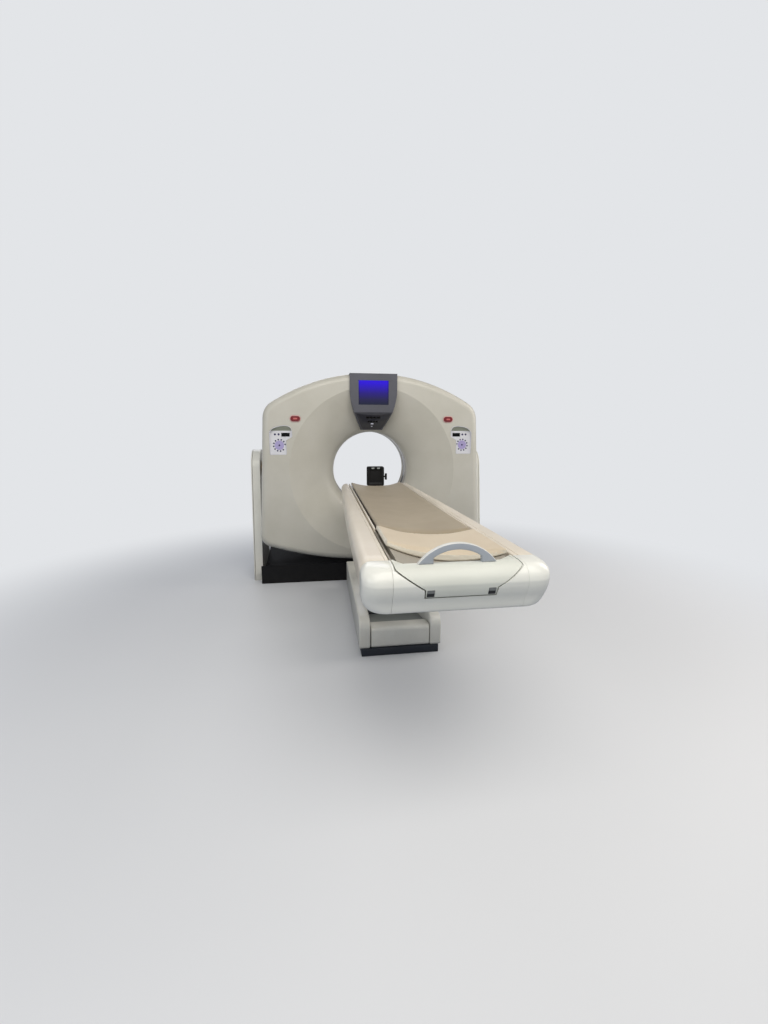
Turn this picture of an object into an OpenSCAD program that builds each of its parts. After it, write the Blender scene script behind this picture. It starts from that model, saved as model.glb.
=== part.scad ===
// CT scanner: a tilting ring gantry on two side columns, and a patient table
// on a parallel lift with a cradle that slides through the bore.
// Frame: floor at z = 0, x = 0 and y = 0 under the scan centre, the table lies
// towards -Y. All sizes are millimetres and degrees.

/* [Gantry] */
// Height of the scan centre and of the tilt axis above the floor
iso_h = 1031; // [1025:1:1040]
// Width of the gantry covers at the height of the scan centre
cover_w = 1962; // [1950:1:1980]
// Top of the gantry covers above the floor
cover_top = 1887; // [1880:1:1900]
// Depth of the gantry covers
cover_d = 1000; // [990:1:1010]
// Lowest point of the gantry covers above the floor
belly_h = 210; // [208:1:220]
// Radius of the arched top of the covers
crown_r = 1650; // [1600:5:1700]
// Radius of the bowed underside of the covers
belly_r = 3000; // [2900:10:3200]
// Radius of the covers' shoulders
shoulder_r = 170; // [150:1:190]
// Radius of the covers' lower corners
foot_r = 110; // [100:1:120]
// Lean of the side walls, which widen downwards
side_lean = 3.3; // [3:0.1:3.6]
// Rounding of the front and rear edges of the covers
edge_r = 60; // [55:1:62]
// Wall of the moulded covers
cover_t = 5; // [4:0.5:6]
// Width of the seams between covers
seam = 3; // [2:0.5:4]

/* [Bore] */
// Clear diameter of the bore
bore_d = 700; // [680:1:704]
// Diameter of the crease where the front flare starts
flare_d = 1480; // [1470:1:1486]
// Depth of the front flare, from the front face to the bore
flare_depth = 251; // [245:1:256]
// Length of the straight bore behind the front flare
tunnel_l = 260; // [255:1:262]
// Diameter of the rear flare at the rear face
rear_flare_d = 1120; // [1100:1:1130]
// Wall of the bore liner
liner_t = 6; // [5:0.5:7]
// Length of the clear scan window in the liner
window_l = 70; // [60:1:80]

/* [Tilt] */
// Radius of the trunnion shafts
trunnion_r = 45; // [42:1:48]
// Wall of the trunnion bushes
bush_t = 15; // [13:1:17]
// Gap between the widest part of the covers and the columns
column_gap = 8; // [6:1:10]
// Thickness of each side column
column_t = 81; // [78:1:86]
// Depth of a column at the floor
column_foot_d = 640; // [620:1:660]
// Radius of the rounded column head
column_head_r = 180; // [170:1:190]
// Depth of the black gantry base
base_d = 856; // [840:1:870]
// Gap between the base's hollow top and the swinging covers
swing_gap = 21; // [18:1:26]

/* [Display] */
// Width of the display shield at the top
shield_w = 412; // [406:1:418]
// Width of the display shield at the bottom
shield_foot_w = 196; // [190:1:202]
// Height of the bottom of the shield above the scan centre
shield_foot_h = 381; // [378:1:385]
// Width of the screen
screen_w = 262; // [255:1:268]
// Height of the screen
screen_h = 204; // [198:1:210]

/* [Table] */
// Length of the table top from its gantry end to the end bezel
table_l = 2402; // [2396:1:2408]
// Gap along the floor between scan centre and table top
table_y = 640; // [636:1:646]
// Height of the side rails' tops
rail_h = 945; // [940:1:950]
// Width over the rails at the gantry end
table_w_far = 592; // [584:1:600]
// Width over the rails at the bezel end
table_w_near = 700; // [690:1:710]
// Width of the trough between the rails
trough_w = 480; // [476:1:486]
// Depth of the side fairings below the rail tops
rail_d = 165; // [160:1:170]
// Bottom of the end bezel
bezel_foot_h = 766; // [762:1:770]
// Length of the end bezel
bezel_l = 127; // [124:1:132]
// Wall of the pan under the table
pan_t = 4; // [3:0.5:5]

/* [Lift] */
// Length of the lift arms between their pivots
arm_l = 787; // [780:1:790]
// Height of the lower pivots above the floor
pivot_h = 160; // [156:1:164]
// Lean of the arms above the floor when the table is up
arm_up = 55; // [54:0.5:56]
// Turn of the arms down to the loading height
arm_turn = 43.5; // [42:0.5:44]
// Place of the front arms' lower pivot before the scan centre
front_pivot_y = 900; // [890:1:910]
// Spacing of the front and rear arms
arm_pitch = 450; // [440:1:460]
// Radius of the pivot pins
pin_r = 16; // [15:0.5:18]
// Running clearance of the pins, on the radius
pin_clear = 0.05; // [0.03:0.01:0.08]

/* [Table base] */
// Width over the base's side cheeks
cheek_w = 524; // [516:1:532]
// Thickness of a cheek
cheek_t = 70; // [66:1:74]
// Top of the cheeks
cheek_h = 250; // [246:1:254]
// Height of the dark plinth
plinth_h = 50; // [46:1:54]
// Distance from the scan centre to the base's near end
base_end_y = 1888; // [1880:1:1896]
// Distance from the scan centre to the base's gantry end
base_far_y = 640; // [630:1:650]

/* [Cradle] */
// Width of the sliding cradle
cradle_w = 424; // [420:1:428]
// Length of the cradle shell
cradle_l = 2260; // [2240:1:2280]
// Height of the cradle's underside at its middle
cradle_foot_h = 869; // [867:1:872]
// Radius of the cradle's curved underside
cradle_r = 570; // [560:1:580]
// Thickness of the cradle shell
cradle_t = 28; // [26:1:30]
// Thickness of the mattress
pad_t = 25; // [22:1:28]
// Length of the foot pad
foot_pad_l = 355; // [345:1:365]
// How far the seam of the two pads runs askew across the cradle
pad_skew = 120; // [0:5:130]

/* [Hidden] */

// Smoothness of round parts, of small round parts and of round parts inside a hull
fine = 96;
small = 40;
coarse = 32;

// Colours
cover_white = [0.86, 0.85, 0.82];
rail_white = [0.90, 0.88, 0.84];
shield_grey = [0.36, 0.36, 0.38];
dark = [0.12, 0.12, 0.13];
plinth_slate = [0.22, 0.24, 0.28];
hood_grey = [0.62, 0.63, 0.62];
frame_grey = [0.42, 0.43, 0.45];
steel = [0.66, 0.67, 0.69];
pad_beige = [0.62, 0.57, 0.50];
pad_cream = [0.83, 0.74, 0.66];
stop_red = [0.75, 0.10, 0.12];
panel_pale = [0.87, 0.86, 0.92];
key_purple = [0.22, 0.18, 0.42];
screen_blue = [0.14, 0.04, 0.60];
handle_grey = [0.55, 0.58, 0.64];

// Gaps: none that shows, between pieces that only meet, and round loose plugs
touch = 0.3;
plug_gap = 0.8;

// Gantry cover faces
front_y = -cover_d / 2;
rear_y = cover_d / 2;
throat_y = front_y + flare_depth;
tunnel_end_y = throat_y + tunnel_l;
bore_r = bore_d / 2;
flare_r = flare_d / 2;
rear_flare_r = rear_flare_d / 2;
front_seam_y = -190;
rear_seam_y = 240;

// Widest part of the covers, near the floor, and the columns' faces
cover_foot_x = cover_w / 2 + (iso_h - belly_h) * tan(side_lean);
column_in_x = cover_foot_x + column_gap - foot_r * tan(side_lean);
column_out_x = column_in_x + column_t;

// Points round the covers: each is [centre x, centre z, radius, angle], so that the outline
// can be drawn at any inset
lean_dir = [-sin(side_lean), cos(side_lean)];
crown_z = cover_top - crown_r;
belly_z = belly_h + belly_r;
function wall_start(r) = [cover_w / 2 - r / cos(side_lean), iso_h];
function corner_centre(big_z, big_r, r, side) =
    let (d = wall_start(r) - [0, big_z],
         b = d * lean_dir,
         c = d * d - pow(big_r - r, 2),
         s = -b + side * sqrt(b * b - c))
    wall_start(r) + s * lean_dir;
shoulder_c = corner_centre(crown_z, crown_r, shoulder_r, 1);
foot_c = corner_centre(belly_z, belly_r, foot_r, -1);
crown_a = atan2(shoulder_c[1] - crown_z, shoulder_c[0]);
belly_a = atan2(foot_c[1] - belly_z, foot_c[0]);
function sweep(c, r, a, b, n) = [for (i = [0 : n]) [c[0], c[1], r, a + (b - a) * i / n]];
right_side = concat(
    [for (p = sweep([0, belly_z], belly_r, -90, belly_a, 3)) p],
    [for (i = [1 : 5]) sweep(foot_c, foot_r, belly_a, side_lean, 5)[i]],
    [for (p = sweep(shoulder_c, shoulder_r, side_lean, crown_a, 7)) p],
    [for (i = [1 : 6]) sweep([0, crown_z], crown_r, crown_a, 90, 6)[i]]);
last = len(right_side) - 1;
function at_inset(p, d) = [p[0] + (p[2] - d) * cos(p[3]), p[1] + (p[2] - d) * sin(p[3])];
function cover_ring(d) = concat(
    [for (p = right_side) at_inset(p, d)],
    [for (i = [last - 1 : -1 : 1]) let (q = at_inset(right_side[i], d)) [-q[0], q[1]]]);

// Front edge of the covers as a quarter round: depth behind the face against inset
edge_steps = 4;
function edge_depth(i, r) = r * (1 - cos(90 * i / edge_steps));
function edge_inset(i, r) = r * (1 - sin(90 * i / edge_steps));

// Section of the front flare, from the crease to the throat, as a smooth curve
flare_steps = 9;
flare_p1 = [bore_r + 40, front_y + (flare_r - bore_r - 40) * 0.36];
function flare_at(t) = [
    (1 - t) * (1 - t) * flare_r + 2 * t * (1 - t) * flare_p1[0] + t * t * bore_r,
    (1 - t) * (1 - t) * front_y + 2 * t * (1 - t) * flare_p1[1] + t * t * throat_y];
flare_line = [for (i = [0 : flare_steps]) flare_at(i / flare_steps)];
rear_line = [for (i = [0 : 5])
    let (t = i / 5)
    [bore_r + (rear_flare_r - bore_r) * (0.55 * t + 0.45 * t * t),
     tunnel_end_y + (rear_y - tunnel_end_y) * t]];

// Lift: where the arms reach when the table is up
arm_reach = [-arm_l * cos(arm_up), arm_l * sin(arm_up)];
rear_pivot_y = front_pivot_y + arm_pitch;
base_pivots = [[-front_pivot_y, pivot_h], [-rear_pivot_y, pivot_h]];
top_pivots = [for (p = base_pivots) p + arm_reach];
arm_x = 130;
arm_t = 16;
eye_r = 29;
lug_x = 150;
lug_t = 16;

// Table top: its ends, and the end cap that slides along it with the cradle
cap_top_x = 232;
cap_foot_x = 128;
cap_foot_z = 838;
cap_top_z = rail_h - 1;
far_end_y = -table_y;
near_end_y = far_end_y - table_l;
bezel_y = near_end_y + bezel_l;
trough_x = trough_w / 2;

// Shells and sweeps
// Skin a row of rings with equal numbers of points, closed at both ends
module skin(rings) {
    n = len(rings[0]);
    m = len(rings);
    sides = [for (k = [0 : m - 2], i = [0 : n - 1], h = [0 : 1])
        let (a = k * n + i, b = k * n + (i + 1) % n, c = a + n, d = b + n)
        h == 0 ? [a, b, d] : [a, d, c]];
    polyhedron([for (r = rings, p = r) p],
        concat([[for (i = [n - 1 : -1 : 0]) i]], sides, [[for (i = [0 : n - 1]) (m - 1) * n + i]]),
        convexity = 6);
}

// Gantry cover envelope between two depths, with a rounded edge at the front or the rear end
function flat_ring(y, d) = [for (p = cover_ring(d)) [p[0], y, p[1]]];
module cover_block(y0, y1, round_front, round_rear, d = 0) {
    r = edge_r - d;
    front = round_front
        ? [for (i = [0 : edge_steps]) flat_ring(y0 + edge_depth(i, r), d + edge_inset(i, r))]
        : [flat_ring(y0, d)];
    rear = round_rear
        ? [for (i = [edge_steps : -1 : 0]) flat_ring(y1 - edge_depth(i, r), d + edge_inset(i, r))]
        : [flat_ring(y1, d)];
    skin(concat(front, rear));
}

// Turn a profile of [radius, y] points about the bore's axis
module about_bore(points, fn = fine) {
    translate([0, 0, iso_h]) rotate([-90, 0, 0]) rotate_extrude($fn = fn) polygon(points);
}
module bore_ring(r0, r1, y0, y1, fn = fine) {
    about_bore([[r0, y0], [r1, y0], [r1, y1], [r0, y1]], fn);
}
module across(r, x0, x1, y, z, fn = small) {
    translate([x0, y, z]) rotate([0, 90, 0]) cylinder(r = r, h = x1 - x0, $fn = fn);
}
module block(x0, x1, y0, y1, z0, z1) {
    translate([x0, y0, z0]) cube([x1 - x0, y1 - y0, z1 - z0]);
}
module both_sides() {
    children();
    mirror([1, 0, 0]) children();
}
// Draw a flat shape in x and z, from one depth to another
module upright(y0, y1) {
    translate([0, y1, 0]) rotate([90, 0, 0]) linear_extrude(y1 - y0) children();
}
// Draw a flat shape in y and z, from one x to another
module sideways(x0, x1) {
    translate([x0, 0, 0]) rotate([90, 0, 90]) linear_extrude(x1 - x0) children();
}

// Stand: base, columns and bushes
swing_r = norm([front_y + edge_r, iso_h - belly_h - edge_r]) + edge_r + swing_gap;
base_half_w = column_in_x;

module gantry_base() {
    color(dark) difference() {
        block(-base_half_w, base_half_w, -base_d / 2, base_d / 2, 0, 260);
        translate([-base_half_w - 1, 0, iso_h]) rotate([0, 90, 0])
            cylinder(r = swing_r, h = 2 * base_half_w + 2, $fn = 128);
    }
}

bolt_x = (column_in_x + column_out_x) / 2;
bolt_y = column_foot_d / 2 - 30;
anchor_r = 9;
module column_outline(d = 0) {
    hull() {
        translate([0, iso_h]) circle(r = column_head_r - d, $fn = 64);
        translate([-column_foot_d / 2 + d, 0]) square([column_foot_d - 2 * d, 60]);
    }
}
module column() {
    inner = column_in_x;
    difference() {
        sideways(inner, column_out_x - 14) column_outline();
        across(trunnion_r + bush_t, inner - 1, column_out_x, 0, iso_h, fine);
        for (s = [-1, 1]) translate([bolt_x, s * bolt_y, -1]) cylinder(r = anchor_r, h = 40, $fn = small);
        for (s = [-1, 1]) block(inner + 12, column_out_x - 13, s * bolt_y - 24, s * bolt_y + 24, 20, 56);
    }
}
module column_right() { color(rail_white) column(); }
module column_left() { color(rail_white) mirror([1, 0, 0]) column(); }
// Outer cover of a column, with a softened rim
cap_round = 12;
module column_cap() {
    hull() {
        sideways(column_out_x - 14, column_out_x - cap_round) column_outline(1);
        sideways(column_out_x - 2, column_out_x) column_outline(1 + cap_round);
    }
}
module column_cap_right() { color(rail_white) column_cap(); }
module column_cap_left() { color(rail_white) mirror([1, 0, 0]) column_cap(); }
module trunnion_bush() {
    difference() {
        across(trunnion_r + bush_t, column_in_x - 4, column_out_x - 14, 0, iso_h, fine);
        across(trunnion_r + pin_clear, column_in_x - 5, column_out_x, 0, iso_h, fine);
    }
}
module trunnion_bush_right() { color("darkgoldenrod") trunnion_bush(); }
module trunnion_bush_left() { color("darkgoldenrod") mirror([1, 0, 0]) trunnion_bush(); }

// Tilting part: frame, covers and liner
bearing_r = 445;
bearing_y0 = 95;
bearing_y1 = 150;
race_t = 15;
ring_out_r = 620;
arm_out_x = cover_w / 2 - edge_r - 4;
arm_in_x = arm_out_x - 102;
bracket_x = arm_out_x - 50;

module tilt_frame() {
    color(frame_grey) {
        difference() {
            union() {
                bore_ring(bearing_r + race_t, bearing_r + race_t + 45, bearing_y0, 205);
                bore_ring(bearing_r + race_t, ring_out_r, 165, 205);
                both_sides() {
                    block(ring_out_r - 60, arm_out_x, 165, 205, iso_h - 110, iso_h + 110);
                    block(arm_in_x, arm_out_x, -80, 205, iso_h - 110, iso_h + 110);
                    across(trunnion_r + 25, arm_out_x - 1, column_in_x - 5, 0, iso_h, fine);
                    across(trunnion_r, arm_out_x - 1, column_out_x - 18, 0, iso_h, fine);
                }
            }
            both_sides() block(arm_in_x + 20, arm_out_x - 15, -60, 150, iso_h - 120, iso_h + 120);
        }
        both_sides() {
            block(bracket_x, arm_out_x, front_y + cover_t, -70, iso_h - 30, iso_h + 30);
            block(bracket_x, arm_out_x, 200, rear_y - cover_t, iso_h - 30, iso_h + 30);
            block(arm_out_x - 1, cover_w / 2 - cover_t / cos(side_lean) - touch,
                -150, -110, iso_h - 30, iso_h);
            block(arm_out_x - 1, cover_w / 2 - cover_t / cos(side_lean) - touch,
                110, 150, iso_h - 30, iso_h);
        }
    }
}

module flare_skin() {
    about_bore(concat(flare_line, [[bore_r, throat_y + 6], [bore_r + cover_t, throat_y + 6]],
        [for (i = [flare_steps : -1 : 1]) flare_line[i] + [cover_t * 0.75, cover_t * 0.66]],
        [[flare_r + 4, front_y + cover_t], [flare_r + 4, front_y]]));
}
module shield_cut() {
    upright(front_y - 60, shield_back_y) offset(delta = plug_gap) shield_outline();
    intersection() {
        upright(front_y - 60, throat_y - 1) offset(delta = plug_gap) shield_outline();
        block(-shield_w, shield_w, front_y - 60, rear_y, iso_h, iso_h + shield_break_h + 120);
    }
}
module panel_cut() {
    upright(front_y - 20, front_y + 60) offset(delta = plug_gap) panel_outline();
}
module stop_cut() {
    upright(front_y - 20, front_y + 40) stop_outline(stop_w + 2 * plug_gap);
}

module front_cover() {
    color(cover_white) difference() {
        union() {
            difference() {
                cover_block(front_y, front_seam_y, true, false);
                cover_block(front_y + cover_t, front_seam_y + 1, true, false, cover_t);
                bore_ring(0, flare_r, front_y - 1, front_y + cover_t + 1);
            }
            flare_skin();
        }
        shield_cut();
        both_sides() panel_cut();
        both_sides() stop_cut();
    }
}

module rear_skin() {
    n = len(rear_line) - 1;
    about_bore(concat([[bore_r, tunnel_end_y]], [for (i = [1 : n]) rear_line[i]],
        [[rear_flare_r + 4, rear_y], [rear_flare_r + 4, rear_y - cover_t]],
        [for (i = [n : -1 : 1]) rear_line[i] + [cover_t, -cover_t * 0.5]],
        [[bore_r + cover_t, tunnel_end_y - 2], [bore_r, tunnel_end_y - 2]]));
}
module rear_cover() {
    color(cover_white) union() {
        difference() {
            cover_block(rear_seam_y, rear_y, false, true);
            cover_block(rear_seam_y - 1, rear_y - cover_t, false, true, cover_t);
            bore_ring(0, rear_flare_r, rear_y - cover_t - 1, rear_y + 1);
        }
        rear_skin();
    }
}

module side_cover() {
    difference() {
        cover_block(front_seam_y + seam, rear_seam_y - seam, false, false);
        cover_block(front_seam_y, rear_seam_y, false, false, cover_t);
        block(-2 * cover_w, seam / 2, front_y, rear_y, 0, 2 * cover_top);
        across(trunnion_r + 30, cover_w / 2 - 60, column_out_x, 0, iso_h, fine);
    }
}
module side_cover_right() { color(cover_white) side_cover(); }
module side_cover_left() { color(cover_white) mirror([1, 0, 0]) side_cover(); }

window_y0 = throat_y + (tunnel_l - window_l) / 2;
window_y1 = window_y0 + window_l;
module bore_liner() {
    color([0.55, 0.55, 0.55]) {
        bore_ring(bore_r, bore_r + liner_t, throat_y + 6, window_y0);
        bore_ring(bore_r, bore_r + liner_t, window_y1, tunnel_end_y - 2);
    }
}
module scan_window() {
    color([0.75, 0.78, 0.80]) bore_ring(bore_r + 1, bore_r + 3, window_y0, window_y1);
}

// Display
shield_top = cover_top - iso_h - 10;
shield_back_y = front_y + 62;
shield_front_y = front_y - 22;
shield_break_h = 520;
shield_side = [for (i = [0 : 8])
    let (t = i / 8)
    [shield_foot_w / 2 + (shield_w - shield_foot_w) / 2 * pow(sin(90 * t), 0.88),
     shield_foot_h + (shield_top - 130 - shield_foot_h) * t]];
module shield_outline() {
    translate([0, iso_h]) difference() {
        polygon(concat(shield_side, [[shield_w / 2, shield_top], [-shield_w / 2, shield_top]],
            [for (i = [8 : -1 : 0]) [-shield_side[i][0], shield_side[i][1]]]));
        circle(r = shield_foot_h - 1, $fn = fine);
    }
}
fascia_t = 6;
fascia_run = shield_break_h - shield_foot_h;
fascia_back = 160;
module shield_profile(front, back) {
    polygon([[shield_front_y + front + 8, iso_h + shield_top],
        [shield_front_y + front, iso_h + shield_top - 14],
        [shield_front_y + front, iso_h + shield_break_h],
        [shield_front_y + front + fascia_back, iso_h + shield_foot_h - 12],
        [shield_back_y + back + 150, iso_h + shield_foot_h - 12],
        [shield_back_y + back + 60, iso_h + shield_break_h],
        [shield_back_y + back, iso_h + shield_top - 60], [shield_back_y + back, iso_h + shield_top]]);
}
module display_housing() {
    color(shield_grey) difference() {
        intersection() {
            upright(shield_front_y, front_y + 250) shield_outline();
            sideways(-shield_w, shield_w) shield_profile(0, -2);
        }
        block(-screen_w / 2, screen_w / 2, shield_front_y - 1, shield_front_y + 6,
            screen_z - screen_h / 2, screen_z + screen_h / 2);
        fascia_body(-3, 0);
    }
}
screen_z = iso_h + 686;
module display_screen() {
    color(screen_blue) block(-screen_w / 2 + touch, screen_w / 2 - touch, shield_front_y + 3,
        shield_front_y + 6, screen_z - screen_h / 2 + touch, screen_z + screen_h / 2 - touch);
}
// Lower trim: a sloped plate let into the housing, with two dark lamp windows in it
function slope_y(h) = shield_front_y + fascia_back * (shield_break_h - h) / (fascia_run + 12);
module slope_band(front, back, h0, h1) {
    sideways(-shield_w, shield_w) polygon([[slope_y(h1) + front, iso_h + h1],
        [slope_y(h0) + front, iso_h + h0], [slope_y(h0) + back, iso_h + h0],
        [slope_y(h1) + back, iso_h + h1]]);
}
module fascia_body(front, d) {
    intersection() {
        upright(shield_front_y - 5, front_y + 250) offset(delta = -10 - d) shield_outline();
        slope_band(front, fascia_t, shield_foot_h - 20, shield_break_h - 8 - d);
    }
}
module display_fascia() {
    color(dark) difference() {
        fascia_body(0.5, touch);
        for (r = lamp_rows) lamp_window(r, -2, 0);
    }
}
// Lamp windows: width, height, place above the shield's foot
lamp_rows = [[130, 17, 95], [100, 14, 60]];
module lamp_window(r, front, d) {
    intersection() {
        slope_band(front, 4, shield_foot_h + r[2] - r[1] / 2 + d, shield_foot_h + r[2] + r[1] / 2 - d);
        block(-r[0] / 2 + d, r[0] / 2 - d, front_y - 100, rear_y, iso_h, cover_top);
    }
}
module display_lamps() { color([0.03, 0.03, 0.04]) for (r = lamp_rows) lamp_window(r, 1, touch); }

// Control panels and stop buttons
panel_w = 194;
panel_x1 = cover_w / 2 - 82;
panel_x0 = panel_x1 - panel_w;
panel_z0 = 1187;
panel_z1 = 1437;
panel_brow_z = 1392;
panel_step_x = panel_x0 + 52;
panel_step_z = 1325;
panel_recess = 26;
// Arched top of the panel: places across its width, and how far each lies below the top
panel_arch = [[194, 57], [178, 36], [152, 17], [110, 5], [64, 0], [28, 6], [8, 22], [0, 42]];
module panel_outline() {
    offset(r = 8) offset(delta = -8)
        polygon(concat([[panel_step_x, panel_z0], [panel_x1, panel_z0]],
            [for (p = panel_arch) [panel_x0 + p[0] * panel_w / panel_arch[0][0], panel_z1 - p[1]]],
            [[panel_x0, panel_step_z + 15], [panel_step_x, panel_step_z - 15]]));
}
// The panel's face slopes in towards the top, under a brow that slopes back out
panel_pitch = atan2(panel_recess - 4, panel_brow_z - panel_z0);
function panel_y(z) = front_y + 3 + (z - panel_z0) * tan(panel_pitch);
module panel_hollow() {
    sideways(0, cover_w) polygon([[front_y - 20, panel_z0 - 20], [panel_y(panel_z0 - 20), panel_z0 - 20],
        [panel_y(panel_brow_z), panel_brow_z], [front_y - 1, panel_z1 + 4], [front_y - 20, panel_z1 + 4]]);
}
module control_panel() {
    difference() {
        upright(front_y + 0.2, front_y + panel_recess + 14) panel_outline();
        intersection() {
            panel_hollow();
            upright(front_y - 1, front_y + 60) offset(delta = -4) panel_outline();
        }
    }
}
module control_panel_right() { color(panel_pale) control_panel(); }
module control_panel_left() { color(panel_pale) mirror([1, 0, 0]) control_panel(); }
// A raised piece on the panel's slope, by its place across and up the panel
module on_panel(x, z, h) {
    translate([x, panel_y(z), z]) rotate([90 - panel_pitch, 0, 0])
        linear_extrude(h) children();
}
module readouts() {
    color([0.03, 0.03, 0.03]) both_sides() on_panel(panel_x0 + 58, 1358, 2) square([70, 32], center = true);
}
key_ring_r = 49;
keys_x = panel_x1 - 82;
keys_z = 1268;
key_count = 11;
module keypads() {
    color(key_purple) both_sides() {
        for (i = [0 : key_count - 1])
            on_panel(keys_x + key_ring_r * sin(i * 360 / (key_count + 1) - 20),
                keys_z + key_ring_r * cos(i * 360 / (key_count + 1) - 20), 1.5) circle(r = 7, $fn = 24);
        on_panel(keys_x, keys_z, 1.5) circle(r = 10, $fn = 24);
        for (x = [4, 35]) on_panel(keys_x + x, 1361, 2) circle(r = 9, $fn = 24);
    }
}
stop_x = cover_w / 2 - 306;
stop_z = 1494;
stop_w = 96;
stop_ring_h = 60;
stop_travel = 4;
stop_proud = 7;
stop_rim = 7;
stop_seat_y = front_y + 18;
module stop_outline(w) {
    h = stop_ring_h + w - stop_w;
    translate([stop_x, stop_z]) {
        translate([-(w - h) / 2, 0]) circle(r = h / 2, $fn = small);
        translate([(w - h) / 2, 0]) circle(r = h / 2, $fn = small);
        square([w - h, h], center = true);
    }
}
module stop_rings() {
    color([0.86, 0.62, 0.62]) both_sides() difference() {
        upright(front_y - 3, front_y + 24) stop_outline(stop_w);
        upright(front_y - 4, stop_seat_y) stop_outline(stop_w - 2 * stop_rim);
    }
}
module stop_button() {
    upright(front_y - 3 - stop_proud, stop_seat_y - stop_travel - touch)
        stop_outline(stop_w - 2 * (stop_rim + touch));
}
module stop_button_right() { color(stop_red) stop_button(); }
module stop_button_left() { color(stop_red) mirror([1, 0, 0]) stop_button(); }

// Rotor: drum, bearing, tube, detector and what turns with them. Radii are from the bore's axis
drum_y0 = 55;
drum_y1 = 92;
drum_in_r = bore_r + 58;
rotor_r = arm_in_x - 25;
hub_r = drum_in_r + 12;
drum_hole_ring_r = 520;
drum_hole_r = 28;
drum_hole_n = 12;
module rotor_drum() {
    color(frame_grey) difference() {
        union() {
            bore_ring(drum_in_r, rotor_r, drum_y0, drum_y1);
            bore_ring(hub_r, bearing_r - race_t, drum_y0, bearing_y1);
        }
        for (i = [0 : drum_hole_n - 1])
            translate([0, 0, iso_h]) rotate([0, (i + 0.5) * 360 / drum_hole_n, 0])
                translate([0, drum_y0 - 1, drum_hole_ring_r]) rotate([-90, 0, 0])
                    cylinder(r = drum_hole_r, h = 60, $fn = small);
    }
}
module bearing_outer() {
    color(steel) bore_ring(bearing_r, bearing_r + race_t, bearing_y0, bearing_y1);
}
module bearing_inner() {
    color(steel) bore_ring(bearing_r - race_t, bearing_r - pin_clear, bearing_y0 + 1, bearing_y1);
}
tube_ring_r = 610;
tube_r = 95;
tube_front_y = -215;
tube_collar_r = 118;
tube_collar_y = -150;
tube_collar_l = 90;
module xray_tube() {
    color([0.75, 0.72, 0.66]) translate([0, 0, iso_h + tube_ring_r]) rotate([-90, 0, 0]) {
        translate([0, 0, tube_front_y]) cylinder(r = tube_r, h = drum_y0 - tube_front_y, $fn = 64);
        translate([0, 0, tube_front_y - 10]) cylinder(r = tube_r - 35, h = 12, $fn = small);
        translate([0, 0, tube_collar_y]) cylinder(r = tube_collar_r, h = tube_collar_l, $fn = 64);
    }
}
collimator_w = 220;
collimator_y0 = -190;
collimator_r0 = bore_r + 50;
collimator_r1 = collimator_r0 + 82;
slot_w = 180;
slot_y = -122;
slot_l = 8;
module collimator() {
    color(dark) difference() {
        block(-collimator_w / 2, collimator_w / 2, collimator_y0, drum_y0,
            iso_h + collimator_r0, iso_h + collimator_r1);
        block(-slot_w / 2, slot_w / 2, slot_y - slot_l / 2, slot_y + slot_l / 2,
            iso_h + collimator_r0 - 10, iso_h + collimator_r1 + 10);
    }
}
detector_r0 = rotor_r - 130;
detector_r1 = rotor_r - 30;
detector_y0 = -180;
detector_half_angle = 34;
module detector_array() {
    color([0.30, 0.32, 0.36]) intersection() {
        union() {
            bore_ring(detector_r0, detector_r0 + 60, detector_y0, detector_y0 + 120);
            bore_ring(detector_r0 + 40, detector_r1, detector_y0 + 30, drum_y0);
        }
        translate([0, 0, iso_h]) upright(-400, 400) polygon([[0, 0],
            [-900 * tan(detector_half_angle), -900], [900 * tan(detector_half_angle), -900]]);
    }
}
module boxed_pack(angle, r0, r1, w, y0) {
    translate([0, 0, iso_h]) rotate([0, angle, 0]) block(-w / 2, w / 2, y0, drum_y0, r0, r1);
}
pack_r1 = rotor_r - 50;
generator_r0 = bore_r + 90;
generator_w = 330;
generator_y0 = -190;
module hv_generator() {
    color([0.55, 0.56, 0.50])
        for (angle = [-90, 90]) boxed_pack(angle, generator_r0, pack_r1, generator_w, generator_y0);
}
cooler_r0 = bore_r + 120;
cooler_foot_t = 30;
cooler_r1 = 700;
cooler_w = 300;
cooler_y0 = -170;
fin_n = 11;
fin_t = 10;
module heat_exchanger() {
    color([0.50, 0.55, 0.62]) {
        boxed_pack(45, cooler_r0, cooler_r0 + cooler_foot_t, cooler_w, cooler_y0);
        for (i = [0 : fin_n - 1]) translate([0, 0, iso_h]) rotate([0, 45, 0])
            translate([-cooler_w / 2 + i * (cooler_w - fin_t) / (fin_n - 1), 0, 0])
                block(0, fin_t, cooler_y0, drum_y0, cooler_r0 + cooler_foot_t - 1, cooler_r1);
    }
}
counterweight_w = 240;
counterweight_y0 = -60;
module counterweight() {
    color([0.35, 0.35, 0.36])
        boxed_pack(-45, cooler_r0 + 10, pack_r1, counterweight_w, counterweight_y0);
}
slip_ring_w = 130;
slip_ring_t = 20;
module slip_ring() {
    color("peru") bore_ring(rotor_r - 10 - slip_ring_w, rotor_r - 10, drum_y1, drum_y1 + slip_ring_t);
}

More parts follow.
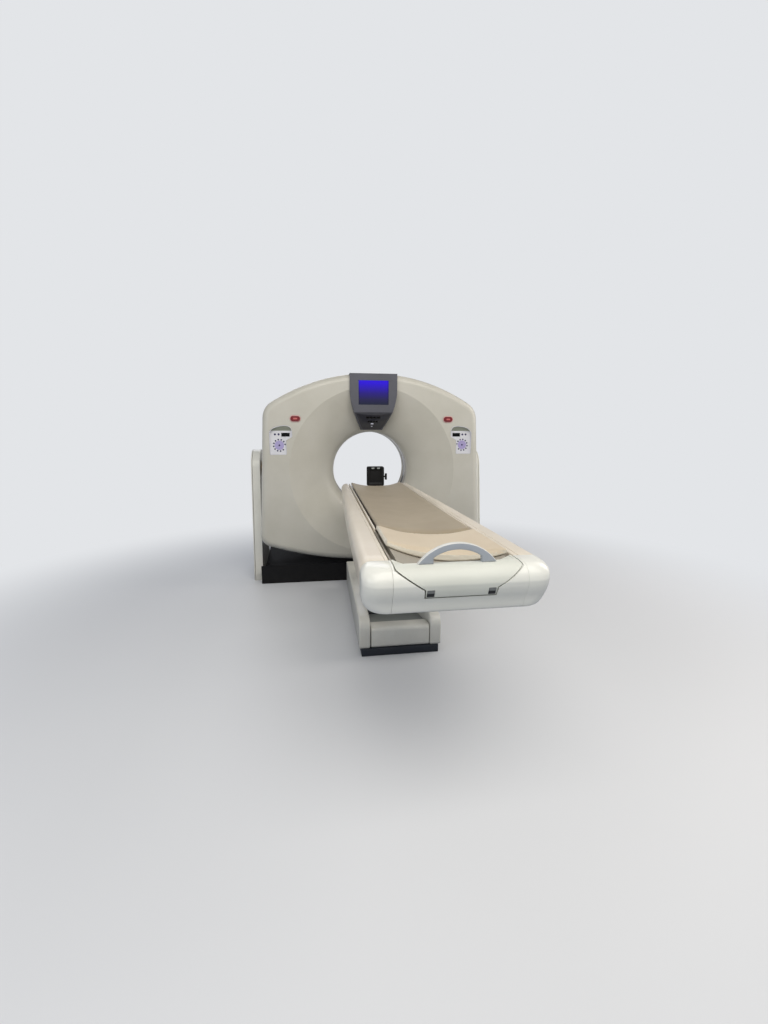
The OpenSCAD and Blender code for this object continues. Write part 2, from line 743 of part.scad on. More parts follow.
// Table base
cheek_out_x = cheek_w / 2;
cheek_in_x = cheek_out_x - cheek_t;
module table_plinth() {
    color(plinth_slate)
        block(-cheek_out_x + 14, cheek_out_x - 14, -base_end_y + 6, -base_d / 2, 0, plinth_h);
}
module cheek_outline() {
    hull() {
        translate([-base_end_y + 70, cheek_h - 70]) circle(r = 70, $fn = small);
        translate([-base_end_y + 24, plinth_h + 24]) circle(r = 24, $fn = small);
        translate([-base_far_y - 10, cheek_h - 10]) circle(r = 10, $fn = 24);
        translate([-base_far_y - 10, plinth_h]) square([10, 10]);
    }
}
module cheek() {
    rim = 16;
    hull() {
        sideways(cheek_in_x, cheek_out_x - rim) cheek_outline();
        sideways(cheek_out_x - 1, cheek_out_x) offset(delta = -rim) cheek_outline();
    }
}
module cheek_right() { color(rail_white) cheek(); }
module cheek_left() { color(rail_white) mirror([1, 0, 0]) cheek(); }
end_cover_h = 188;
end_cover_d = 60;
module base_end_cover() {
    color(rail_white) sideways(-cheek_in_x + 2, cheek_in_x - 2) hull() {
        translate([-base_end_y + 34, end_cover_h - 28]) circle(r = 28, $fn = small);
        translate([-base_end_y + 26, plinth_h + 22]) circle(r = 18, $fn = small);
        translate([-base_end_y + 40, plinth_h]) square([end_cover_d, 20]);
        translate([-base_end_y + 40, end_cover_h - 20]) square([end_cover_d, 20]);
    }
}
hood_end_y = -1470;
module base_hood() {
    color(hood_grey) sideways(-cheek_in_x + 4, cheek_in_x - 4)
        polygon([[-base_end_y + 102, plinth_h], [hood_end_y, plinth_h], [hood_end_y, 100],
            [-base_end_y + 102, 168]]);
}
module base_frame() {
    color(frame_grey) {
        difference() {
            union() {
                both_sides() {
                    block(lug_x - lug_t / 2, lug_x + lug_t / 2,
                        -rear_pivot_y - 60, -front_pivot_y + 180, plinth_h, 110);
                    for (p = base_pivots) hull() {
                        across(eye_r, lug_x - lug_t / 2, lug_x + lug_t / 2, p[0], p[1]);
                        block(lug_x - lug_t / 2, lug_x + lug_t / 2, p[0] - 60, p[0] + 60, plinth_h, 70);
                    }
                }
                block(-lug_x, lug_x, -front_pivot_y + 140, -front_pivot_y + 180, plinth_h, 100);
                block(-lug_x, lug_x, -rear_pivot_y + 200, -rear_pivot_y + 240, plinth_h, 80);
            }
            for (p = base_pivots) across(pin_r, -200, 200, p[0], p[1]);
        }
    }
}
module pin_set(pivots, half) {
    for (p = pivots) {
        across(pin_r, -half, half, p[0], p[1]);
        both_sides() across(pin_r + 6, half, half + 5, p[0], p[1]);
    }
}
pin_half = lug_x + lug_t / 2 + touch;
module base_pins() { color(steel) pin_set(base_pivots, pin_half); }
module top_pins() { color(steel) pin_set(top_pivots, pin_half); }

// Lift arms: two plates, an eye tube at each end and a cross web
module lift_arm(i) {
    a = base_pivots[i];
    b = top_pivots[i];
    eye_half = lug_x - lug_t / 2 - 1;
    difference() {
        union() {
            both_sides() hull() {
                across(eye_r, arm_x - arm_t / 2, arm_x + arm_t / 2, a[0], a[1], coarse);
                across(eye_r, arm_x - arm_t / 2, arm_x + arm_t / 2, b[0], b[1], coarse);
            }
            for (p = [a, b]) across(eye_r, -eye_half, eye_half, p[0], p[1]);
            translate([0, a[0], a[1]]) rotate([-arm_up, 0, 0])
                block(-arm_x, arm_x, -arm_l * 0.82, -arm_l * 0.18, -7, 7);
        }
        for (p = [a, b]) across(pin_r + pin_clear, -200, 200, p[0], p[1]);
    }
}
module lift_arm_front() { color(frame_grey) lift_arm(0); }
module lift_arm_rear() { color(frame_grey) lift_arm(1); }

// Table top
beam_z1 = 862;
beam_h = 40;
beam_out_x = lug_x + 40;
cross_h = 30;
// Cross members keep below the cap, which slides over them with the cradle
cross_z1 = cap_foot_z - 4;
cross_d = 50;
module top_frame() {
    color(frame_grey) difference() {
        union() {
            both_sides() {
                block(lug_x - lug_t / 2, beam_out_x, bezel_y, far_end_y - 60, beam_z1 - beam_h, beam_z1);
                for (p = top_pivots) hull() {
                    across(eye_r - 2, lug_x - lug_t / 2, lug_x + lug_t / 2, p[0], p[1]);
                    block(lug_x - lug_t / 2, lug_x + lug_t / 2, p[0] - 60, p[0] + 60, beam_z1 - 20, beam_z1);
                }
            }
            for (y = [bezel_y + 70, top_pivots[1][0] - 120, far_end_y - 180])
                block(-trough_x, trough_x, y, y + cross_d, cross_z1 - cross_h, cross_z1);
        }
        for (p = top_pivots) {
            across(pin_r, -200, 200, p[0], p[1]);
            both_sides() across(pin_r + 7, pin_half - touch, 200, p[0], p[1]);
        }
    }
}
pan_z = 800;
slot_x = lug_x + lug_t / 2 + 25;
// The slot ends where the front arm passes the pan when the table is down
arm_down = arm_up - arm_turn;
slot_far_y = top_pivots[0][0] + (top_pivots[0][1] - pan_z) / tan(arm_down) + eye_r / sin(arm_down) + 20;
module under_pan() {
    color(rail_white) difference() {
        block(-trough_x, trough_x, bezel_y + touch, far_end_y - 150, pan_z, pan_z + pan_t);
        block(-slot_x, slot_x, top_pivots[1][0] - 70, slot_far_y, pan_z - 1, pan_z + pan_t + 1);
    }
}

// How far the outer wall of the rails and of the bezel rounds in, at a height between its
// foot and its top
under_h = 70;
shoulder_h = 45;
function oval(deep, wide, h) = h >= deep ? 0 : wide * (1 - sqrt(1 - pow(1 - h / deep, 2)));
function side_in(z, z0, z1) = oval(under_h, 46, z - z0) + oval(shoulder_h, 40, z1 - z);
function side_heights(z0, z1) = concat(
    [for (i = [0 : 5]) z0 + under_h * (1 - cos(90 * i / 5))],
    [for (i = [0 : 5]) z1 - shoulder_h * (1 - sin(90 * i / 5))]);

// Side rail: a shell drawn as rings along the table
rail_steps = 6;
function rail_out(t) = (table_w_far + (table_w_near - table_w_far) * (1.6 * t - 0.6 * t * t)) / 2;
function rail_under(y) = max(rail_h - rail_d, rail_h - rail_d + 80 - (far_end_y - y) * 0.5);
function rail_ring(y) =
    let (t = (far_end_y - y) / table_l, x = rail_out(t), z0 = rail_under(y), z1 = rail_h)
    concat([[trough_x, y, z0]],
        [for (z = side_heights(z0, z1)) [x - side_in(z, z0, z1), y, z]],
        [[trough_x + 8, y, z1], [trough_x, y, z1 - 8]]);
rail_ys = [for (i = [0 : rail_steps])
    let (t = i / rail_steps) bezel_y + touch + (far_end_y - bezel_y - touch) * (1 - pow(1 - t, 1.6))];
module side_rail() { skin([for (y = rail_ys) rail_ring(y)]); }
module side_rail_right() { color(rail_white) side_rail(); }
module side_rail_left() { color(rail_white) mirror([1, 0, 0]) side_rail(); }

// End bezel. Its front is a bow, which stands furthest out a little above the middle: each
// pair is a height above the foot and how far the front is set back there
front_bow = [[0, 72], [3, 52], [9, 41], [20, 36], [38, 31], [56, 24], [76, 13], [95, 5], [112, 1], [122, 0],
    [136, 3], [148, 9], [158, 17], [166, 26], [172, 36], [176, 47], [179, 75]];
bow_h = front_bow[len(front_bow) - 1][0];
bezel_corner = 65;
bezel_half = table_w_near / 2;
bezel_seam_x = 245;
function bow_z(p) = bezel_foot_h + p[0] * (rail_h - bezel_foot_h) / bow_h;
module bow_profile(back) {
    polygon(concat([for (p = front_bow) [near_end_y + p[1], bow_z(p)]],
        [[back, rail_h], [back, bezel_foot_h]]));
}
cap_gap = 5;
cap_side_h = 6;
cap_foot_side_h = 32;
// Outline of the cap, and of its notch with a gap round it and open at the top
function cap_outline(d, up) = let (right = [[cap_foot_x + d, cap_foot_z - d],
        [cap_foot_x + 2 + d, cap_foot_z + cap_foot_side_h - d / 3],
        [cap_top_x + d, cap_top_z - cap_side_h - d / 3], [cap_top_x + d, cap_top_z + up]])
    concat(right, [for (i = [3 : -1 : 0]) [-right[i][0], right[i][1]]]);
module bezel_centre() {
    color(rail_white) difference() {
        sideways(-bezel_seam_x, bezel_seam_x) bow_profile(bezel_y);
        upright(near_end_y - 50, bezel_y + 50) polygon(cap_outline(cap_gap, 80));
        block(-200, 200, near_end_y + 84, bezel_y + 1, 700, cap_foot_z - 12);
    }
}
// Corners of the bezel: plan rings stacked from the bottom up
module bezel_body() {
    skin([for (p = front_bow)
        let (z = bow_z(p), x = bezel_half - side_in(z, bezel_foot_h, rail_h), y = near_end_y + p[1],
             ry = min(bezel_corner, bezel_l - p[1] - 6))
        concat([[x, bezel_y, z], [0, bezel_y, z], [0, y, z]],
            [for (a = [270 : 15 : 360])
                [x - bezel_corner + bezel_corner * cos(a), y + ry + ry * sin(a), z]])]);
}
module bezel_corner_piece() {
    difference() {
        bezel_body();
        block(-50, bezel_seam_x + plug_gap, near_end_y - 10, bezel_y + 10, 700, 1100);
    }
}
module bezel_right() { color(rail_white) bezel_corner_piece(); }
module bezel_left() { color(rail_white) mirror([1, 0, 0]) bezel_corner_piece(); }

// Cradle and what lies on it
cradle_far_y = far_end_y - 5;
cradle_near_y = cradle_far_y - cradle_l;
function arc_z(x, r) = r - sqrt(r * r - x * x);
track_x = 180;
module cradle_track() {
    color(steel) both_sides() {
        block(track_x - 8, track_x + 8, bezel_y + 40, far_end_y - 20, beam_z1,
            cradle_foot_h + arc_z(track_x - 8, cradle_r) - touch);
    }
}
// Curved strip: between two arcs about one centre, cut to a width
module curved_strip(low_r, high_r, w, fn = 180) {
    translate([0, cradle_foot_h + cradle_r]) intersection() {
        difference() {
            circle(r = low_r, $fn = fn);
            circle(r = high_r, $fn = fn);
        }
        translate([-w / 2, -2 * cradle_r]) square([w, 2 * cradle_r]);
    }
}
pad_out_r = cradle_r - cradle_t - touch;
pad_half = cradle_w / 2 + 4;
pad_seam_y = cradle_near_y + 90 + foot_pad_l;
// Slim lips along the cradle's edges, beside the mattress
lip_in_x = pad_half + 8;
lip_out_x = lip_in_x + 8;
lip_near_y = pad_seam_y + pad_skew / 2;
lip_foot_z = cradle_foot_h + arc_z(cradle_w / 2, cradle_r) - 8;
module cradle_shell() {
    color([0.30, 0.31, 0.33]) {
        upright(cradle_near_y, cradle_far_y) curved_strip(cradle_r, cradle_r - cradle_t, cradle_w);
        both_sides() {
            block(cradle_w / 2 - 12, lip_out_x, lip_near_y, cradle_far_y, lip_foot_z, lip_foot_z + 8);
            block(lip_in_x, lip_out_x, lip_near_y, cradle_far_y, lip_foot_z, rail_h + 1);
        }
    }
}
// A pad between two ends that run askew: the ends' places in the middle, and how far each
// runs askew over the pad's width
module pad(t, y0, y1, skew0, skew1) {
    intersection() {
        upright(y0 - 200, y1 + 200) curved_strip(pad_out_r, pad_out_r - t, 2 * pad_half);
        translate([0, 0, cradle_foot_h]) linear_extrude(300) polygon([
            [pad_half + 1, y0 - skew0 / 2], [pad_half + 1, y1 - skew1 / 2],
            [-pad_half - 1, y1 + skew1 / 2], [-pad_half - 1, y0 + skew0 / 2]]);
    }
}
module mattress() {
    color(pad_beige) pad(pad_t, pad_seam_y + 1, cradle_far_y - touch, pad_skew, 0);
}
module foot_pad() {
    color(pad_cream) pad(pad_t + 4, pad_seam_y - foot_pad_l, pad_seam_y - 1, 1.4 * pad_skew, pad_skew);
}
// The cap's front is flush with the bezel's; behind it the cap is a tray
cap_wall_y = near_end_y + 84;
latch_w = 28;
module cradle_end_cap() {
    color(rail_white) difference() {
        intersection() {
            sideways(-cap_top_x - 1, cap_top_x + 1) bow_profile(cradle_near_y);
            upright(near_end_y - 10, cradle_near_y + 10) polygon(cap_outline(0, 0));
        }
        block(-150, 150, cap_wall_y, cradle_near_y + 1, cap_foot_z + 30, cap_top_z + 1);
        both_sides() block(cap_foot_x - latch_w - 2, cap_foot_x - 2, near_end_y - 1, near_end_y + 16,
            cap_foot_z + 2, cap_foot_z + 2 + latch_w);
    }
    color(dark) both_sides() block(cap_foot_x - latch_w - 1, cap_foot_x - 3, near_end_y + 2, near_end_y + 17,
        cap_foot_z + 3, cap_foot_z + 1 + latch_w);
}
handle_half = 148;
handle_rise = 75;
handle_t = 25;
handle_r = (handle_half * handle_half + handle_rise * handle_rise) / (2 * handle_rise);
module arch(d) {
    translate([0, cap_top_z + handle_rise - handle_r]) circle(r = handle_r - d, $fn = fine);
}
module pull_handle() {
    color(handle_grey) upright(cap_wall_y - 22, cap_wall_y) difference() {
        intersection() {
            arch(0);
            translate([-200, cap_top_z]) square([400, 200]);
        }
        intersection() {
            arch(handle_t);
            translate([-90, cap_top_z - 1]) square([180, 200]);
        }
    }
}
clamp_w = 146;
clamp_h = 165;
clamp_y = cradle_far_y - 20;
clamp_z = cradle_foot_h + cradle_t + pad_t + 8;
knob_z = clamp_z + 78;
module head_clamp() {
    color(dark) difference() {
        union() {
            translate([-8, 0, 0]) upright(clamp_y - 46, clamp_y) translate([0, clamp_z])
                offset(r = 14) offset(delta = -14) translate([-clamp_w / 2, 0]) square([clamp_w, clamp_h]);
            block(-50, 34, clamp_y - 10, cradle_far_y + 10, clamp_z + 20, clamp_z + 60);
            block(-50, 34, cradle_far_y, cradle_far_y + 10, cradle_foot_h + 8, clamp_z + 60);
        }
        across(6 + pin_clear, 20, 100, clamp_y - 23, knob_z);
    }
}
module clamp_knob() {
    color(dark) {
        across(6, 30, 78, clamp_y - 23, knob_z);
        hull() {
            across(9, 72, 76, clamp_y - 23, knob_z, 24);
            across(5, 88, 92, clamp_y - 23, knob_z + 22, 24);
            across(5, 88, 92, clamp_y - 23, knob_z - 22, 24);
        }
    }
}

gantry_base();
column_left();
column_right();
column_cap_left();
column_cap_right();
trunnion_bush_left();
trunnion_bush_right();
table_plinth();
base_frame();
cheek_left();
cheek_right();
base_end_cover();
base_hood();
base_pins();
tilt_frame();
front_cover();
rear_cover();
side_cover_left();
side_cover_right();
bore_liner();
scan_window();
display_housing();
display_screen();
display_fascia();
display_lamps();
control_panel_left();
control_panel_right();
readouts();
keypads();
stop_rings();
stop_button_left();
stop_button_right();
rotor_drum();
bearing_outer();
bearing_inner();
xray_tube();
collimator();
detector_array();
hv_generator();
heat_exchanger();
counterweight();
slip_ring();
lift_arm_rear();
lift_arm_front();
top_frame();
under_pan();
side_rail_left();
side_rail_right();
bezel_centre();
bezel_left();
bezel_right();
top_pins();
cradle_track();
cradle_shell();
mattress();
foot_pad();
cradle_end_cap();
pull_handle();
head_clamp();
clamp_knob();
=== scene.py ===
# CT scanner: a tilting ring gantry and its patient table, dressed for rendering.
import math

import bmesh
import bpy
from mathutils import Matrix, Vector


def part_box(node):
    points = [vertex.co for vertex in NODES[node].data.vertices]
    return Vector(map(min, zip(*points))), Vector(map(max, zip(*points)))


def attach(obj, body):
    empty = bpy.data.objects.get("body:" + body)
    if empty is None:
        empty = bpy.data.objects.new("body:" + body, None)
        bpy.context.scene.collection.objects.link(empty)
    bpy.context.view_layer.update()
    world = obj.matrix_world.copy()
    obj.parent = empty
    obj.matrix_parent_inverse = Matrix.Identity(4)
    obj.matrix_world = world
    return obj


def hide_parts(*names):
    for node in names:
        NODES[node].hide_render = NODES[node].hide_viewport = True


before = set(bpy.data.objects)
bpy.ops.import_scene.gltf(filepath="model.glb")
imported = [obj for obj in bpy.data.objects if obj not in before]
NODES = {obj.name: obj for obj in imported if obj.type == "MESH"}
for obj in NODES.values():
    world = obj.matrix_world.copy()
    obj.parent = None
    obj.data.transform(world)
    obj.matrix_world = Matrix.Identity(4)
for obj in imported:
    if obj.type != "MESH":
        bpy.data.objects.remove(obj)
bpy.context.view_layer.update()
MM = 0.001

# ---------------------------------------------------------------- camera
# Found from the lines of the table and of the gantry in the photograph.
CAMERA_PLACE = (-0.488, -4.462, 1.423)
CAMERA_DOWN = 10.77
CAMERA_RIGHT = 8.38
CAMERA_ROLL = 0.15
CAMERA_LENS = 15.65


def add_camera():
    """The camera of the photograph: level and angles in degrees, place in metres."""
    eye = bpy.data.cameras.new("camera")
    eye.sensor_fit = "VERTICAL"
    eye.sensor_height = 36
    eye.lens = CAMERA_LENS
    eye.clip_end = 100
    seen = bpy.data.objects.new("camera", eye)
    turn = Matrix.Rotation(math.radians(-CAMERA_RIGHT), 3, "Z")
    turn = turn @ Matrix.Rotation(math.radians(90 - CAMERA_DOWN), 3, "X")
    turn = turn @ Matrix.Rotation(math.radians(CAMERA_ROLL), 3, "Z")
    seen.rotation_euler = turn.to_euler()
    seen.location = CAMERA_PLACE
    bpy.context.scene.collection.objects.link(seen)
    bpy.context.scene.camera = seen


add_camera()

# ---------------------------------------------------------------- materials


def hex_rgb(code):
    """An sRGB hex value as linear red, green, blue and full alpha."""
    parts = [int(code[i:i + 2], 16) / 255 for i in (1, 3, 5)]
    linear = [p / 12.92 if p <= 0.04045 else ((p + 0.055) / 1.055) ** 2.4 for p in parts]
    return (*linear, 1.0)


def add(tree, kind, values=None, links=None, **settings):
    """Add a node with its settings, its input values and its input links."""
    node = tree.nodes.new(kind)
    for key, value in settings.items():
        setattr(node, key, value)
    for key, value in (values or {}).items():
        node.inputs[key].default_value = value
    for key, socket in (links or {}).items():
        tree.links.new(socket, node.inputs[key])
    return node


def ramp_stops(node, stops):
    """Give a Color Ramp its stops, as (place, linear colour)."""
    ramp = node.color_ramp
    while len(ramp.elements) < len(stops):
        ramp.elements.new(0.5)
    for element, (place, colour) in zip(ramp.elements, stops):
        element.position = place
        element.color = colour


def begin(name):
    """A new material, its empty node tree and the place on the object."""
    material = bpy.data.materials.new(name)
    material.use_nodes = True
    tree = material.node_tree
    tree.nodes.clear()
    return material, tree, add(tree, "ShaderNodeTexCoord").outputs["Object"]


# Size of the slow drift in a paint's or a moulding's colour
DRIFT_MM = 220
# Scuffs and dust fade out at this height above the floor, in metres
DUST_TOP = 0.35


def finish(name, base, other, rough, grain_mm, bump, metallic=0.0, coat=0.0, dust=0.0, ior=1.46):
    """Body of most finishes: a colour that drifts, a fine grain, and dust near the floor."""
    material, tree, where = begin(name)
    patches = add(tree, "ShaderNodeTexNoise",
                  {"Scale": 1000 / DRIFT_MM, "Detail": 4, "Roughness": 0.55}, {"Vector": where})
    grain = add(tree, "ShaderNodeTexNoise",
                {"Scale": 1000 / grain_mm, "Detail": 3, "Roughness": 0.6}, {"Vector": where})
    tint = add(tree, "ShaderNodeValToRGB", links={"Fac": patches.outputs["Fac"]})
    ramp_stops(tint, [(0.35, hex_rgb(base)), (0.68, hex_rgb(other))])
    colour = tint.outputs["Color"]
    if dust:
        height = add(tree, "ShaderNodeSeparateXYZ", links={"Vector": where})
        low = add(tree, "ShaderNodeMapRange",
                  {"From Min": 0.0, "From Max": DUST_TOP, "To Min": 1.0, "To Max": 0.0},
                  {"Value": height.outputs["Z"]})
        scuff = add(tree, "ShaderNodeTexNoise", {"Scale": 16, "Detail": 6, "Roughness": 0.7},
                    {"Vector": where})
        spread = add(tree, "ShaderNodeMath", {1: dust}, {0: low.outputs["Result"]}, operation="MULTIPLY")
        share = add(tree, "ShaderNodeMath", links={0: scuff.outputs["Fac"], 1: spread.outputs["Value"]},
                    operation="MULTIPLY")
        soiled = add(tree, "ShaderNodeMix", {7: hex_rgb("#8d867a")},
                     {0: share.outputs["Value"], 6: colour}, data_type="RGBA")
        colour = soiled.outputs[2]
    shine = add(tree, "ShaderNodeMapRange", {"To Min": rough - 0.05, "To Max": rough + 0.07},
                {"Value": grain.outputs["Fac"]})
    relief = add(tree, "ShaderNodeBump", {"Strength": bump, "Distance": 0.0006},
                 {"Height": grain.outputs["Fac"]})
    body = add(tree, "ShaderNodeBsdfPrincipled",
               {"Metallic": metallic, "Coat Weight": coat, "Coat Roughness": 0.12},
               {"Base Color": colour, "Roughness": shine.outputs["Result"],
                "Normal": relief.outputs["Normal"]})
    if metallic < 0.5:
        body.inputs["IOR"].default_value = ior
    add(tree, "ShaderNodeOutputMaterial", links={"Surface": body.outputs["BSDF"]})
    return material


# Two-pack satin paint on moulded covers: warm grey white, its off-white darkened as painted shade for the
# gantry's dimmer light, a faint orange peel, soft gloss
cover_paint = finish("satin_paint_grey_white", "#c6c3b8", "#c0bdb1", 0.34, 5, 0.12, coat=0.15)
# The same paint on the table's foot, creamier, scuffed near the floor
table_paint = finish("satin_paint_cream_white", "#e9e8df", "#e2e0d6", 0.32, 5, 0.12, coat=0.2,
                     dust=0.35)
# The table's rails: a pinkish beige white, worn smooth by hands and straps
rail_paint = finish("satin_paint_beige_white", "#dcd4c6", "#d5ccbc", 0.34, 5, 0.1, coat=0.15)
# The table's near end: the whitest of the mouldings
bezel_paint = finish("satin_paint_bright_white", "#e4e4dd", "#dedfd7", 0.3, 5, 0.1, coat=0.25)
# The same paint on the end cap, with a duller gloss and a darker colour as painted shade, so that its top,
# which faces the lamp, does not glare
cap_paint_painted_shade = finish("satin_paint_shaded_white", "#d6d8cf", "#d0d2c9", 0.45, 5, 0.12, coat=0.05)
# Painted shade on the downward faces of the recess above the control panels: olive grey
brow_painted_shade = finish("painted_shade_olive_grey", "#999c8d", "#909384", 0.5, 5, 0.15)
# Powder coat on the gantry's foot: near black, fine pebble grain
base_coat = finish("powder_coat_black", "#0a0b0e", "#101114", 0.6, 3, 0.5, dust=0.06, ior=1.3)
# Powder coat on the plinth: dark slate
plinth_coat = finish("powder_coat_slate", "#1c222c", "#232a35", 0.55, 3, 0.5, dust=0.1)
# Moulded ABS, light grey, between the table's cheeks
hood_abs = finish("moulded_abs_light_grey", "#959a98", "#8d9290", 0.45, 3, 0.3, dust=0.2)
# Moulded PC and ABS of the display surround: mid grey, fine spark-eroded texture
shield_abs = finish("moulded_pc_abs_mid_grey", "#56575f", "#4f5056", 0.42, 2.5, 0.45)
# Smoked acrylic trim: dark and glossy
fascia_acrylic = finish("smoked_acrylic_dark", "#3a3a41", "#34343a", 0.18, 30, 0.02, coat=0.4)
# Gloss black acrylic windows
window_acrylic = finish("gloss_acrylic_black", "#060608", "#0a0a0d", 0.12, 30, 0.02, ior=1.4)
# Polyester membrane of the control panels: cool white
membrane = finish("polyester_membrane_white", "#d8d8dc", "#d2d2d7", 0.5, 2, 0.2)
# The membrane's printed disc inside the ring of keys: lilac
disc_print = finish("printed_membrane_lilac", "#aaa2cc", "#a298c4", 0.5, 2, 0.2)
# Printed membrane keys: near-black violet
key_print = finish("printed_membrane_violet", "#241f48", "#2c2656", 0.45, 2, 0.2)
# Moulded surround of the stop buttons: faded pink
stop_abs = finish("moulded_abs_pink", "#dcbab4", "#d3b0aa", 0.42, 3, 0.2)
# Moulded ABS button: dark red, glossy
stop_red = finish("moulded_abs_dark_red", "#7c2228", "#701c22", 0.28, 3, 0.1, coat=0.2)
# The button's raised middle bar: salmon
stop_bar_abs = finish("moulded_abs_salmon", "#c9706a", "#bf6660", 0.35, 3, 0.1)
# Moulded liner: warm grey, satin
liner_grp = finish("moulded_liner_warm_grey", "#a39d92", "#989287", 0.4, 5, 0.1)
# Sprayed paint on the steel frames, arms and drum: mid grey, dusty near the floor
frame_paint = finish("painted_steel_grey", "#6c6f74", "#63666b", 0.48, 3, 0.3, dust=0.3)
# Ground and turned steel of pins, races and tracks: bright grey
steel = finish("machined_steel", "#b9bbbe", "#a9abae", 0.3, 2, 0.15, metallic=1.0)
# Sintered bronze of the bushes: dull yellow brown
bronze = finish("sintered_bronze", "#b08a4e", "#9c7840", 0.38, 2, 0.3, metallic=1.0)
# Stove enamel on the housings inside: pale, even, soft gloss
enamel = finish("enamel_pale", "#b8b4a4", "#aca896", 0.4, 4, 0.1)
# Moulded ABS of the detector casing: slate grey
detector_abs = finish("moulded_abs_slate", "#4b5059", "#434850", 0.45, 3, 0.3)
# Turned brass tracks of the slip ring: bright yellow
brass = finish("turned_brass", "#c49a55", "#b48a48", 0.28, 2, 0.1, metallic=1.0)
# Handle: moulded nylon, blue grey
handle_nylon = finish("moulded_nylon_blue_grey", "#a0a6ae", "#989ea6", 0.4, 3, 0.2)
# The handle's faces that look outward round its arch: pale grey
handle_rim = finish("pale_grey_outer_faces", "#d4d4d0", "#cccdc9", 0.4, 3, 0.2)
# Head clamp: matt black moulding
clamp_abs = finish("moulded_abs_black", "#0b0b0c", "#121214", 0.55, 2, 0.4, ior=1.35)
# Moulded rubber of the latches: dull black
latch_rubber = finish("moulded_rubber_black", "#1b1c1e", "#242528", 0.6, 2, 0.4)
# Their tongues: mid grey
latch_grey = finish("moulded_rubber_grey", "#6c6f70", "#646768", 0.6, 2, 0.4)


def screen_glass():
    """Lit screen: bright violet blue at the top, down to navy, behind gloss glass."""
    material, tree, where = begin("lit_screen_glass")
    height = add(tree, "ShaderNodeSeparateXYZ", links={"Vector": where})
    low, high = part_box("display_screen")
    up = add(tree, "ShaderNodeMapRange", {"From Min": low.z, "From Max": high.z},
             {"Value": height.outputs["Z"]})
    glow = add(tree, "ShaderNodeValToRGB", links={"Fac": up.outputs["Result"]})
    ramp_stops(glow, [(0.0, hex_rgb("#1b2033")), (0.22, hex_rgb("#231f4c")), (0.48, hex_rgb("#26187c")),
                      (0.72, hex_rgb("#290fb4")), (0.9, hex_rgb("#2a07d6"))])
    # The picture's glow fades out over the last 14 mm at either side: painted shade for the frame's shadow
    across = add(tree, "ShaderNodeMath", links={0: height.outputs["X"]}, operation="ABSOLUTE")
    edge = add(tree, "ShaderNodeMapRange", {"From Min": high.x - 0.014, "From Max": high.x,
               "To Min": 1.0, "To Max": 0.5}, {"Value": across.outputs["Value"]})
    # Wiped glass: faint smears some 25 mm long make the gloss uneven
    smear = add(tree, "ShaderNodeTexNoise", {"Scale": 40, "Detail": 3}, {"Vector": where})
    shine = add(tree, "ShaderNodeMapRange", {"To Min": 0.1, "To Max": 0.22},
                {"Value": smear.outputs["Fac"]})
    relief = add(tree, "ShaderNodeBump", {"Strength": 0.05, "Distance": 0.0003},
                 {"Height": smear.outputs["Fac"]})
    body = add(tree, "ShaderNodeBsdfPrincipled", {"Base Color": hex_rgb("#08080c"), "IOR": 1.5},
               {"Emission Color": glow.outputs["Color"], "Emission Strength": edge.outputs["Result"],
                "Roughness": shine.outputs["Result"], "Normal": relief.outputs["Normal"]})
    add(tree, "ShaderNodeOutputMaterial", links={"Surface": body.outputs["BSDF"]})
    return material


def lamp_glass():
    """Frosted white lamp window: a soft even glow with a fine moulded stipple."""
    material, tree, where = begin("lit_lamp_white")
    # Stipple cells of 2 mm
    stipple = add(tree, "ShaderNodeTexNoise", {"Scale": 500, "Detail": 2}, {"Vector": where})
    tint = add(tree, "ShaderNodeValToRGB", links={"Fac": stipple.outputs["Fac"]})
    ramp_stops(tint, [(0.3, hex_rgb("#b4b4c0")), (0.7, hex_rgb("#bdbdc8"))])
    shine = add(tree, "ShaderNodeMapRange", {"To Min": 0.25, "To Max": 0.38},
                {"Value": stipple.outputs["Fac"]})
    relief = add(tree, "ShaderNodeBump", {"Strength": 0.1, "Distance": 0.0003},
                 {"Height": stipple.outputs["Fac"]})
    body = add(tree, "ShaderNodeBsdfPrincipled",
               {"Emission Color": hex_rgb("#b8b8c4"), "Emission Strength": 0.45, "IOR": 1.49},
               {"Base Color": tint.outputs["Color"], "Roughness": shine.outputs["Result"],
                "Normal": relief.outputs["Normal"]})
    add(tree, "ShaderNodeOutputMaterial", links={"Surface": body.outputs["BSDF"]})
    return material


